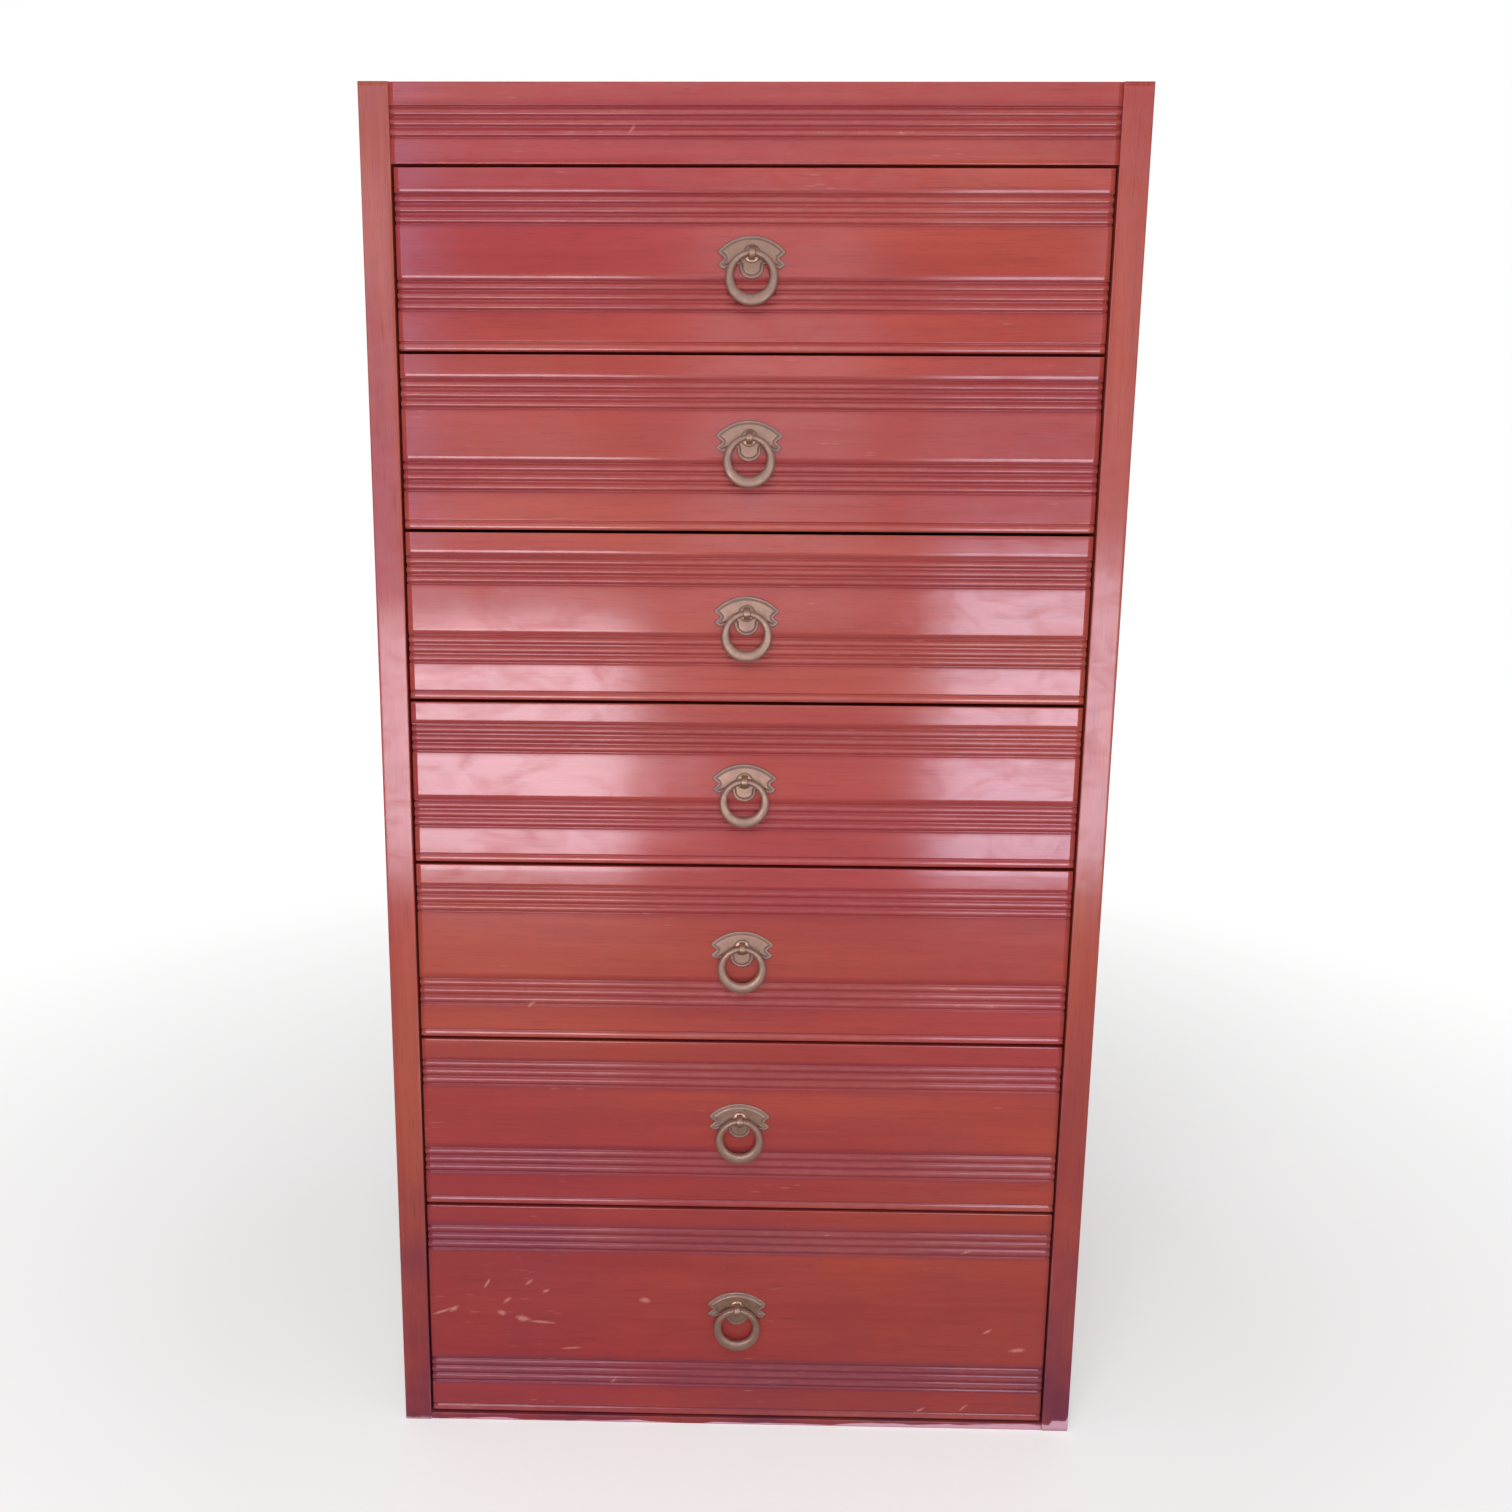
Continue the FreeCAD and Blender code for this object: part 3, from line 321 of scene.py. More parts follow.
def moulded_skin(length_along, height, bands, bead, seed, filled=0.1, end_gap=0.0):
    """A closed skin over the front of a board, its wear, and its grime with painted shade in the
    grooves.

    Its columns follow the section: up the moulded face, back over the top, down behind and
    forward under the foot. Its rows run along the board. Old wax fills a share of the grooves'
    depth, filled plus or minus a slow random line, and the most in the quirk over the bead."""
    sizes = setting("moulding")
    up = section_heights(height, sizes, bands, bead)
    depth = moulding_depth(up, sizes, bands, bead)
    edge = np.clip(1 - (height - up) / sizes.arris, 0, 1)
    depth = np.maximum(depth, sizes.arris * (1 - np.sqrt(1 - edge ** 2)))
    if not bead:
        edge = np.clip(1 - up / sizes.arris, 0, 1)
        depth = np.maximum(depth, sizes.arris * (1 - np.sqrt(1 - edge ** 2)))
    back = np.linspace(0, 1, 6)[1:]
    over = depth[-1] + (sizes.skin_depth - depth[-1]) * back
    under = depth[0] + (sizes.skin_depth - depth[0]) * back[::-1]
    ring_up = np.concatenate([up, np.full(5, height), [height / 2], np.zeros(5)])
    ring_depth = np.concatenate([depth, over, [sizes.skin_depth], under])

    half = length_along / 2 - end_gap
    rows = int(length_along / (4 * MM))
    along = half * np.linspace(-1, 1, rows)[:, None]
    in_band = np.minimum(ring_depth / sizes.reed_rise, 1) * (ring_depth < sizes.reed_rise * 1.01)
    waxed = filled * (1 - 0.45 * smooth(-along / half)) + 0.07 * wander(along, seed, 0.31)
    waxed = np.maximum(waxed, 0.45 * (ring_up < sizes.bead_width + sizes.quirk))
    fine = wander(along + 0.8 * ring_up, seed + 1, 0.012) * wander(along, seed + 2, 0.09)
    sunk = ring_depth * (1 - np.where(in_band > 0, waxed, 0))
    fade = np.clip(1 - ring_depth / (1.6 * MM), -0.6, 1)
    proud = sizes.proud * (1 + 0.4 * fine)
    grow_up = 1 + 2 * sizes.proud * fade / height
    grow_along = 1 + 2 * sizes.proud * (fade - (end_gap > 0)) / length_along
    grid = np.empty((rows, len(ring_up), 3))
    grid[..., 0] = along * grow_along
    grid[..., 1] = np.where(ring_depth < sizes.skin_depth, sunk - proud, ring_depth)
    grid[..., 2] = height / 2 + (ring_up - height / 2) * grow_up

    crest = (1 - in_band) ** 2 * near_any(ring_up, bands, band_height(sizes))
    if bead:
        crest = np.maximum(crest, (1 - in_band) * (ring_up < sizes.bead_width))
    rim = np.exp(-np.minimum(ring_up, height - ring_up) / (1.2 * MM))
    ends = 0.7 * np.exp(-(half - np.abs(along)) / (1.5 * MM))
    wear = np.maximum(np.maximum(crest, rim), ends) * np.ones_like(along)
    beside = 1.2 * MM
    smear = 0.6 * near_any(ring_up, np.array(bands) - beside, band_height(sizes) + 2 * beside)
    # Painted shade in the grooves, darker the deeper they are, except where old wax fills them;
    # with it the old wax smeared over and round the bands.
    grime = np.maximum(in_band * (ring_depth > 0) * (1 - waxed), smear * np.ones_like(along))
    return grid, {"wear": wear, "grime": grime}


def near_any(up, lows, reach):
    """1 where a height lies in one of the bands, else 0."""
    inside = np.zeros_like(up)
    for low in lows:
        inside = np.maximum(inside, (up > low) & (up < low + reach))
    return inside


def turned(grid, order, corner):
    """Moves a skin from (along, depth, up) to the frame: order says which goes to x, y and z."""
    return grid[..., list(order)] + np.asarray(corner)


def kept_inside(grid, low, high):
    """The skin with its x and z held a hair inside the box of its board."""
    hair = np.array([0.01 * MM, -1.0, 0.01 * MM])
    return np.clip(grid, low + hair, high - hair)


# The pulls

def plate_outline(sizes):
    """The winged outline as evenly spaced points round the eye, its corners rubbed round.

    An arc of a circle runs over the top, straight lines make the notched wings, and a
    flat arc closes the tongue. Averaging each point with its neighbours rounds the corners."""
    end, top = sizes.plate_width / 2, sizes.plate_top
    tongue, foot = sizes.tongue_width / 2, -sizes.tongue_foot
    tip = 1.5 * MM
    arch = (end ** 2 + (top - tip) ** 2) / (2 * (top - tip))
    swing = np.linspace(-1, 1, 60) * math.asin(end / arch)
    over = np.stack([arch * np.sin(swing), top - arch * (1 - np.cos(swing))], axis=1)
    wing = np.array([[end - 5.5 * MM, -2.9 * MM], [end - 0.3 * MM, -7 * MM],
                     [end - 4.5 * MM, -10.5 * MM], [tongue, -6.5 * MM]])
    round_end = tongue + 0.6 * MM
    swing = np.linspace(1, -1, 30) * math.asin(tongue / round_end)
    under = np.stack([round_end * np.sin(swing), foot + round_end * (1 - np.cos(swing))], axis=1)
    loop = np.concatenate([over, wing, under, wing[::-1] * (-1, 1)])
    loop = np.concatenate([loop, loop[:1]])
    run = np.append(0, np.cumsum(np.hypot(*np.diff(loop, axis=0).T)))
    even = np.linspace(0, run[-1], 320, endpoint=False)
    points = np.stack([np.interp(even, run, loop[:, axis]) for axis in (0, 1)], axis=1)
    for turn in range(5):
        points = (points + np.roll(points, 1, axis=0) + np.roll(points, -1, axis=0)) / 3
    return points


def plate_shell(sizes):
    """The cast plate: a grid of rays from the neck's hole to the outline.

    Its height over the wood is a quarter round at the rim and a smooth step up to the fan,
    both of the distance to the outline. The columns go out over the front and back behind."""
    outline = plate_outline(sizes)
    angle = np.arctan2(outline[:, 1], outline[:, 0])
    hole = 2.2 * MM * np.stack([np.cos(angle), np.sin(angle)], axis=1)
    out = np.sin(np.linspace(0, np.pi / 2, 26))
    plan = hole[:, None] + (outline - hole)[:, None] * out[:, None]
    gap = np.linalg.norm(plan[:, :, None] - outline[None, None, ::2], axis=-1).min(axis=2)
    rim_round = 0.9 * MM
    rim = np.sqrt(1 - (1 - np.clip(gap / rim_round, 0, 1)) ** 2)
    step = smooth((gap - 0.75 * sizes.fan_rim) / (0.5 * sizes.fan_rim))
    height = 0.35 * MM + (sizes.plate_thick - 0.35 * MM) * rim + sizes.fan_rise * step
    groove = 0.25 * MM * np.exp(-((gap - 0.7 * sizes.fan_rim) / (0.35 * MM)) ** 2)
    height -= groove
    front = np.stack([plan[..., 0], -height, plan[..., 1]], axis=-1)
    behind = np.stack([plan[..., 0], np.full_like(height, 0.1 * MM), plan[..., 1]], axis=-1)
    grid = np.concatenate([front, behind[:, [-1, 0]]], axis=1)
    hollow = np.exp(-((gap - 0.75 * sizes.fan_rim) / (0.7 * MM)) ** 2)
    rubbed = np.clip(1 - gap / (1.0 * MM), 0, 1) + 0.5 * step
    marks = {"grime": np.pad(hollow, ((0, 0), (0, 2)), mode="edge"),
             "wear": np.pad(rubbed, ((0, 0), (0, 2)), mode="edge")}
    return grid, marks


def lug_shell(sizes, reach):
    """The eye's lug: a rounded washer round the ring's hole.

    In front its outer edge is a circle, and behind it is a rounded square that runs into the
    collar. Each column is a rounded square section from the hole to that edge."""
    angle = np.linspace(0, 2 * np.pi, 56, endpoint=False)
    back, side = np.cos(angle), np.sin(angle)
    square = (np.abs(back) / reach) ** 8 + (np.abs(side) / sizes.lug_radius) ** 8
    outer = np.where(back > 0, square ** (-1 / 8), sizes.lug_radius)
    turn = np.linspace(0, 2 * np.pi, 24, endpoint=False)
    across, thick = rounded(turn, 4)
    radius = (outer + sizes.hole_radius)[:, None] / 2
    radius = radius + (outer - sizes.hole_radius)[:, None] / 2 * across
    return np.stack([np.broadcast_to(sizes.lug_thick / 2 * thick, radius.shape),
                     radius * back[:, None], radius * side[:, None]], axis=-1)


def turned_shell(radii, places, power=2):
    """A round or squarish bar along y: at each place a ring of points of that radius."""
    turn = np.linspace(0, 2 * np.pi, 32, endpoint=False)
    across, up = rounded(turn, power)
    radii = np.asarray(radii)[:, None]
    places = np.broadcast_to(np.asarray(places)[:, None], (len(radii), len(turn)))
    return np.stack([radii * across, places, radii * up], axis=-1)


def ring_shell(sizes):
    """The ring: its section lies between two circles, of which the inner stands a little high.

    The section is an oval, wide as the gap between the circles and as thick as the ring."""
    outer = sizes.ring_radius + (sizes.ring_top + sizes.ring_foot) / 4
    inner = sizes.ring_radius - (sizes.ring_top + sizes.ring_foot) / 4
    outer_middle = sizes.ring_top / 2 - outer
    inner_middle = -sizes.ring_top / 2 - inner
    angle = np.linspace(0, 2 * np.pi, 112, endpoint=False)
    circle = np.stack([np.sin(angle), np.cos(angle)], axis=1)
    far = outer * circle + (0, outer_middle)
    near = inner * circle + (0, inner_middle)
    turn = np.linspace(0, 2 * np.pi, 28, endpoint=False)
    across, thick = rounded(turn, 2.3)
    flat = (far + near)[:, None] / 2 + (far - near)[:, None] / 2 * across[:, None]
    deep = np.broadcast_to(sizes.ring_thick / 2 * thick, flat.shape[:2])
    return np.stack([flat[..., 0], deep, flat[..., 1]], axis=-1)


# Node trees

class Wiring:
    """Short words for laying out one node tree."""

    def __init__(self, tree):
        self.tree = tree
        self.count = 0

    def add(self, kind, inputs=None, **settings):
        node = self.tree.nodes.new(kind)
        node.location = (220 * (self.count // 4), -240 * (self.count % 4))
        self.count += 1
        for word, value in settings.items():
            setattr(node, word, value)
        for word, value in (inputs or {}).items():
            if isinstance(value, bpy.types.NodeSocket):
                self.tree.links.new(value, node.inputs[word])
            else:
                node.inputs[word].default_value = value
        return node

    def math(self, operation, first, second):
        node = self.add("ShaderNodeMath", {0: first, 1: second}, operation=operation)
        return node.outputs[0]

    def times(self, first, second):
        return self.math("MULTIPLY", first, second)

    def plus(self, first, second):
        return self.math("ADD", first, second)

    def most(self, first, second):
        return self.math("MAXIMUM", first, second)

    def scaled(self, vector, scale):
        node = self.add("ShaderNodeVectorMath", {0: vector, 1: scale}, operation="MULTIPLY")
        return node.outputs[0]

    def noise(self, vector, scale, detail=3.0, rough=0.5, distortion=0.0):
        node = self.add("ShaderNodeTexNoise", {"Vector": vector, "Scale": scale, "Detail": detail,
                                               "Roughness": rough, "Distortion": distortion})
        return node.outputs["Fac"]

    def ramp(self, value, low, high, start=0.0, end=1.0):
        """The value from low to high, spread over start to end and held outside."""
        node = self.add("ShaderNodeMapRange", {"Value": value, "From Min": low, "From Max": high,
                                               "To Min": start, "To Max": end})
        return node.outputs["Result"]

    def mix(self, factor, first, second):
        node = self.add("ShaderNodeMix", {0: factor, 6: first, 7: second}, data_type="RGBA")
        return node.outputs[2]

    def attribute(self, name):
        return self.add("ShaderNodeAttribute", attribute_name=name).outputs["Fac"]

    def group(self, name, inputs):
        return self.add("ShaderNodeGroup", inputs, node_tree=group_of(name)).outputs

    def send(self, links):
        """Links each value to its socket."""
        for target, value in links:
            self.tree.links.new(value, target)

    def roughen(self, shader, height, strength, distance):
        """Bumps the shader's surface by the height."""
        bump = self.add("ShaderNodeBump", {"Height": height, "Strength": strength,
                                           "Distance": distance})
        self.tree.links.new(bump.outputs[0], shader["Normal"])


def opaque(rgb):
    return (*rgb, 1.0)


def new_group(name, inputs, outputs):
    """An empty shader node group with named sockets, and its wiring."""
    group = bpy.data.node_groups.new(name, "ShaderNodeTree")
    kinds = {"vector": "NodeSocketVector", "value": "NodeSocketFloat"}
    for word, kind in inputs.items():
        group.interface.new_socket(word, in_out="INPUT", socket_type=kinds[kind])
    for word in outputs:
        group.interface.new_socket(word, in_out="OUTPUT", socket_type="NodeSocketFloat")
    wires = Wiring(group)
    start = wires.add("NodeGroupInput")
    finish = wires.add("NodeGroupOutput")
    return group, wires, start.outputs, finish.inputs


def grain_group():
    """Wood grain with its length along x: broad figure, fine streaks and dark pores."""
    group, wires, given, made = new_group(
        "wood_grain", {"Vector": "vector", "Length": "value", "Breadth": "value"},
        ["Figure", "Streaks", "Pores"])
    long = wires.math("DIVIDE", 1.0, given["Length"])
    broad = wires.math("DIVIDE", 1.0, given["Breadth"])
    scale = wires.add("ShaderNodeCombineXYZ", {"X": long, "Y": broad, "Z": broad}).outputs[0]
    place = wires.scaled(given["Vector"], scale)
    figure = wires.noise(place, 1.0, 4.0, 0.55, 0.9)
    streaks = wires.noise(wires.scaled(place, (3.0, 9.0, 9.0)), 1.0, 3.0, 0.6)
    pores = wires.noise(wires.scaled(place, (16.0, 55.0, 55.0)), 1.0, 2.0, 0.5)
    wires.send([(made["Figure"], wires.ramp(figure, 0.3, 0.7)),
                (made["Streaks"], wires.ramp(streaks, 0.32, 0.68)),
                (made["Pores"], wires.ramp(pores, 0.60, 0.68))])
    return group


def polish_group():
    """Old polish: haze in clouds, short slanting scratches, a slow ripple and dull smudges."""
    group, wires, given, made = new_group(
        "old_polish", {"Vector": "vector"}, ["Haze", "Scratches", "Ripple", "Smudges"])
    haze = wires.noise(given["Vector"], 9.0, 4.0, 0.6)
    turn = wires.add("ShaderNodeMapping", {"Vector": given["Vector"],
                                           "Rotation": (0.0, math.radians(32), 0.0),
                                           "Scale": (42.0, 42.0, 260.0)})
    spots = wires.add("ShaderNodeTexVoronoi", {"Vector": turn.outputs[0], "Scale": 1.0},
                      feature="F1")
    dash = wires.ramp(spots.outputs["Distance"], 0.10, 0.22, 1.0, 0.0)
    where = wires.ramp(wires.noise(given["Vector"], 14.0, 2.0), 0.58, 0.66)
    ripple = wires.noise(wires.scaled(given["Vector"], (0.4, 1.0, 1.0)), 24.0, 2.0)
    smudges = wires.noise(wires.scaled(given["Vector"], (0.7, 1.0, 1.3)), 34.0, 5.0, 0.65, 1.2)
    wires.send([(made["Haze"], wires.ramp(haze, 0.3, 0.7)),
                (made["Scratches"], wires.times(dash, where)),
                (made["Ripple"], ripple),
                (made["Smudges"], wires.ramp(smudges, 0.45, 0.75))])
    return group


def wear_group():
    """Ragged wear: where the wear mark is strong and a rough noise is high, the finish is off."""
    group, wires, given, made = new_group(
        "ragged_wear", {"Vector": "vector", "Wear": "value", "Amount": "value"}, ["Bare", "Rubbed"])
    rough = wires.noise(wires.scaled(given["Vector"], (0.35, 1.0, 1.0)), 260.0, 4.0, 0.7)
    broad = wires.noise(given["Vector"], 11.0, 2.0)
    level = wires.plus(wires.times(rough, 0.5), wires.times(broad, 0.5))
    push = wires.times(given["Wear"], given["Amount"])
    edge = wires.plus(level, push)
    wires.send([(made["Bare"], wires.ramp(edge, 1.02, 1.12)),
                (made["Rubbed"], wires.ramp(edge, 0.7, 1.1))])
    return group


# Pale knocks in the polish of the fronts: x, z, half length, half width and tilt in degrees.
KNOCKS = [
    (-0.249, 0.103, 0.0125, 0.0012, 20),
    (-0.241, 0.105, 0.0045, 0.0020, 29),
    (-0.212, 0.129, 0.0055, 0.0012, 59),
    (-0.195, 0.114, 0.0045, 0.0014, 38),
    (-0.176, 0.131, 0.0045, 0.0013, 39),
    (-0.200, 0.102, 0.0038, 0.0024, -16),
    (-0.182, 0.097, 0.0065, 0.0028, -12),
    (-0.165, 0.094, 0.0110, 0.0013, -4),
    (-0.162, 0.123, 0.0030, 0.0015, 21),
    (-0.141, 0.070, 0.0085, 0.0010, 5),
    (-0.105, 0.040, 0.0042, 0.0012, 48),
    (-0.078, 0.116, 0.0048, 0.0024, -5),
    (0.158, 0.017, 0.0052, 0.0011, 30),
    (0.195, 0.020, 0.0045, 0.0011, 42),
    (0.212, 0.092, 0.0045, 0.0013, 34),
    (0.238, 0.075, 0.0070, 0.0020, 4),
    (0.191, 0.165, 0.0045, 0.0010, 20),
    (-0.170, 0.379, 0.0048, 0.0014, 40),
    (-0.088, 1.042, 0.0045, 0.0011, 55),
]


def knock_group():
    """Ovals of missing polish at the places in KNOCKS, on the front only."""
    group, wires, given, made = new_group("pale_knocks", {"Vector": "vector"}, ["Knocks"])
    total = 0.0
    rough = wires.noise(given["Vector"], 420.0, 2.0)
    for x, z, long, wide, tilt in KNOCKS:
        turn = wires.add("ShaderNodeMapping", {
            "Vector": given["Vector"], "Location": (x, 0.0, z),
            "Rotation": (0.0, -math.radians(tilt), 0.0), "Scale": (long, 1.0, wide),
        }, vector_type="TEXTURE")
        far = wires.add("ShaderNodeVectorMath", {0: turn.outputs[0]}, operation="LENGTH")
        ragged = wires.plus(far.outputs["Value"], rough)
        total = wires.most(wires.ramp(ragged, 0.9, 1.7, 1.0, 0.0), total)
    wires.send([(made["Knocks"], total)])
    return group


def group_of(name):
    """The shared node group of that name, made once."""
    makers = {"wood_grain": grain_group, "old_polish": polish_group,
              "ragged_wear": wear_group, "pale_knocks": knock_group}
    return bpy.data.node_groups.get(name) or makers[name]()


def cleared(block, kind):
    """The wiring of a material's or world's emptied tree, and its output's surface socket."""
    block.use_nodes = True
    block.node_tree.nodes.clear()
    wires = Wiring(block.node_tree)
    return wires, wires.add(kind).inputs["Surface"]


def new_material(name):
    """A material with an empty tree but for its output and shader."""
    material = bpy.data.materials.new(name)
    wires, surface = cleared(material, "ShaderNodeOutputMaterial")
    shader = wires.add("ShaderNodeBsdfPrincipled")
    wires.send([(surface, shader.outputs[0])])
    return material, wires, shader.inputs


# The turn that lays the grain of each board along x.
GRAIN_TURNS = {
    "x": (0.0, 0.0, 0.0),
    "y": (0.0, 0.0, -math.pi / 2),
    "z": (0.0, math.pi / 2, 0.0),
}


def grain_place(wires, axis):
    """Object coordinates, and the same turned so that the grain runs along x."""
    place = wires.add("ShaderNodeTexCoord").outputs["Object"]
    turn = wires.add("ShaderNodeMapping", {"Vector": place, "Rotation": GRAIN_TURNS[axis]})
    return place, turn.outputs[0]


def polished_mahogany(name, axis, cool, warm, under, floor_shade, knocks, amount, gloss):
    """Red mahogany under old French polish: cool and warm clouds, dark figure, pale wear, and
    painted shade in the grooves and towards the floor.

    under is the colour below the polish, floor_shade is how much painted shade, dark and purple,
    falls over it towards the floor, and gloss is the share of the clear polish that is left."""
    woods = setting("wood")
    material, wires, shader = new_material(name)
    place, along = grain_place(wires, axis)
    grain = wires.group("wood_grain", {"Vector": along, "Length": 0.42, "Breadth": 0.035})
    polish = wires.group("old_polish", {"Vector": place})
    wear = wires.group("ragged_wear", {"Vector": along, "Wear": wires.attribute("wear"),
                                       "Amount": amount})
    grime = wires.attribute("grime")
    clouds = wires.noise(wires.scaled(along, (1.6, 5.0, 5.0)), 1.0, 2.0)
    tint = wires.mix(wires.ramp(clouds, 0.36, 0.64), opaque(cool), opaque(warm))
    tint = wires.mix(wires.times(grain["Figure"], 0.45), tint, opaque(woods.deep))
    tint = wires.mix(wires.times(grain["Streaks"], 0.25), tint, opaque(woods.deep))
    tint = wires.mix(wires.times(grain["Pores"], 0.25), tint, opaque(woods.dirt))
    # Painted shade: low rises from nothing at 0.42 m to its full share at the floor and lays the
    # dark purple smear colour over the wood there; held lays on the skins' grime and painted groove
    # shade.
    up = wires.add("ShaderNodeSeparateXYZ", {"Vector": place}).outputs["Z"]
    low = wires.ramp(up, 0.42, 0.0, 0.0, floor_shade)
    smear = wires.times(low, wires.ramp(polish["Haze"], 0.0, 1.0, 0.15, 1.0))
    held = wires.times(grime, wires.plus(wires.math("MINIMUM", low, 0.4), 0.4))
    smear = wires.ramp(wires.plus(smear, held), 0.0, 0.9, 0.0, 0.9)
    tint = wires.mix(smear, tint, opaque(woods.smear))
    bare = wear["Bare"]
    rubbed = wires.times(wear["Rubbed"], 0.22)
    pale = wires.most(wires.times(bare, 0.8), rubbed)
    if knocks:
        spots = wires.group("pale_knocks", {"Vector": place})["Knocks"]
        spots = wires.most(spots, wires.times(polish["Scratches"], 0.4))
        pale = wires.most(pale, wires.times(spots, 0.65))
    tint = wires.mix(pale, tint, opaque(under))
    rough = wires.ramp(polish["Haze"], 0.0, 1.0, 0.28, 0.42)
    rough = wires.plus(rough, wires.times(pale, 0.3))
    clean = wires.times(wires.ramp(pale, 0.0, 1.0, 1.0, 0.1),
                       wires.ramp(grime, 0.0, 1.0, 1.0, 0.25))
    clean = wires.times(clean, wires.ramp(polish["Smudges"], 0.0, 1.0, 1.0, 0.5))
    clean = wires.times(clean, wires.ramp(low, 0.0, 1.0, 1.0, 0.2))
    coat = wires.times(clean, woods.polish * gloss)
    wires.send([(shader["Base Color"], tint), (shader["Roughness"], rough),
                (shader["Coat Weight"], coat)])
    shader["Coat Roughness"].default_value = 0.15
    shader["Coat IOR"].default_value = 1.9
    shader["Specular IOR Level"].default_value = 0.15
    height = wires.math("SUBTRACT", wires.times(polish["Ripple"], 3.0),
                        wires.times(grain["Pores"], 0.5))
    height = wires.math("SUBTRACT", height, pale)
    wires.roughen(shader, height, 0.25, 0.6 * MM)
    return material


def bare_board(name, axis, ground, length_of_figure, breadth, dusty):
    """An unpolished board: dry grain, darkened by age, with dust in clouds."""
    woods = setting("wood")
    dark = [value * share_left for value, share_left in zip(ground, (0.55, 0.48, 0.42))]
    material, wires, shader = new_material(name)
    place, along = grain_place(wires, axis)
    grain = wires.group("wood_grain", {"Vector": along, "Length": length_of_figure,
                                       "Breadth": breadth})
    clouds = wires.ramp(wires.noise(place, 6.0, 4.0, 0.6), 0.35, 0.7)
    tint = wires.mix(wires.times(grain["Figure"], 0.8), opaque(ground), opaque(dark))
    tint = wires.mix(wires.times(grain["Streaks"], 0.4), tint, opaque(dark))
    tint = wires.mix(wires.times(grain["Pores"], 0.5), tint, opaque(woods.dirt))
    tint = wires.mix(wires.times(clouds, dusty), tint, opaque(woods.dust))
    wires.send([(shader["Base Color"], tint),
                (shader["Roughness"], wires.ramp(clouds, 0.0, 1.0, 0.62, 0.85))])
    shader["Specular IOR Level"].default_value = 0.25
    wires.roughen(shader, wires.plus(grain["Streaks"], grain["Pores"]), 0.4, 0.4 * MM)
    return material


def antique_brass(name):
    """Cast brass: rubbed on its rims, under a matte brown tarnish in its hollows."""
    metals = setting("metal")
    material, wires, shader = new_material(name)
    place = wires.add("ShaderNodeTexCoord").outputs["Object"]
    clouds = wires.noise(place, 130.0, 4.0, 0.6)
    spots = wires.ramp(wires.noise(place, 900.0, 3.0), 0.55, 0.75)
    dull = wires.plus(wires.ramp(clouds, 0.35, 0.75, 0.15, 0.8),
                      wires.times(wires.attribute("grime"), 0.6))
    dull = wires.math("SUBTRACT", dull, wires.times(wires.attribute("wear"), 0.35))
    dull = wires.ramp(wires.plus(dull, wires.times(spots, 0.2)), 0.0, 1.0)
    tint = wires.mix(dull, opaque(metals.brass), opaque(metals.tarnish))
    wires.send([(shader["Base Color"], tint),
                (shader["Roughness"], wires.ramp(dull, 0.0, 1.0, 0.36, 0.6)),
                (shader["Metallic"], wires.ramp(dull, 0.0, 1.0, 0.85, 0.25))])
    wires.roughen(shader, wires.plus(clouds, wires.times(spots, 0.3)), 0.35, 0.4 * MM)
    return material


def rusty_iron(name):
    """Dull iron with rust in patches."""
    metals = setting("metal")
    material, wires, shader = new_material(name)
    place = wires.add("ShaderNodeTexCoord").outputs["Object"]
    rust = wires.ramp(wires.noise(place, 300.0, 4.0, 0.65), 0.42, 0.62)
    tint = wires.mix(rust, opaque(metals.iron), opaque(metals.rust))
    wires.send([(shader["Base Color"], tint),
                (shader["Roughness"], wires.ramp(rust, 0.0, 1.0, 0.45, 0.85)),
                (shader["Metallic"], wires.ramp(rust, 0.0, 1.0, 0.9, 0.1))])
    wires.roughen(shader, rust, 0.5, 0.3 * MM)
    return material


# Axis of the grain, colour word, tone, length and breadth of the figure, and share of dust.
BARE_FINISHES = {
    "oak_lengthwise": ("y", "oak", 1.0, 0.30, 0.020, 0.35),
    "oak_across": ("x", "oak", 0.94, 0.30, 0.020, 0.35),
    "panel_across": ("x", "panel", 1.0, 0.40, 0.045, 0.35),
    "pine_left": ("z", "pine", 1.0, 0.50, 0.030, 0.45),
    "pine_middle": ("z", "pine", 0.86, 0.42, 0.024, 0.40),
    "pine_right": ("z", "pine", 0.95, 0.56, 0.036, 0.50),
    "pine_across": ("x", "pine", 0.9, 0.50, 0.030, 0.55),
    "runner_wood": ("y", "runner", 1.0, 0.30, 0.012, 0.2),
}

# Axis of the grain, colour words of the cool and the warm clouds and of the wood under the
# polish, painted purple shade towards the floor, knocks, amount of wear, and share of the polish.
POLISHED_FINISHES = {
    "level_mahogany": ("x", "crimson", "orange", "bare_wood", 0.4, True, 0.42, 1.0),
    "upright_mahogany": ("z", "case_red", "case_orange", "scuffed", 1.2, False, 0.40, 0.78),
    "foot_mahogany": ("x", "case_red", "case_orange", "scuffed", 1.0, False, 0.60, 0.78),
}


def finish_of(name):
    """The material of that name, made once."""
    made = bpy.data.materials.get(name)
    if made:
        return made
    woods = setting("wood")
    if name in BARE_FINISHES:
        axis, word, tone, *figure = BARE_FINISHES[name]
        ground = [value * tone for value in getattr(woods, word)]
        return bare_board(name, axis, ground, *figure)
    if name in POLISHED_FINISHES:
        axis, cool, warm, under, *rest = POLISHED_FINISHES[name]
        return polished_mahogany(name, axis, getattr(woods, cool), getattr(woods, warm),
                                 getattr(woods, under), *rest)
    return {"antique_brass": antique_brass, "rusty_iron": rusty_iron}[name](name)


# The steps

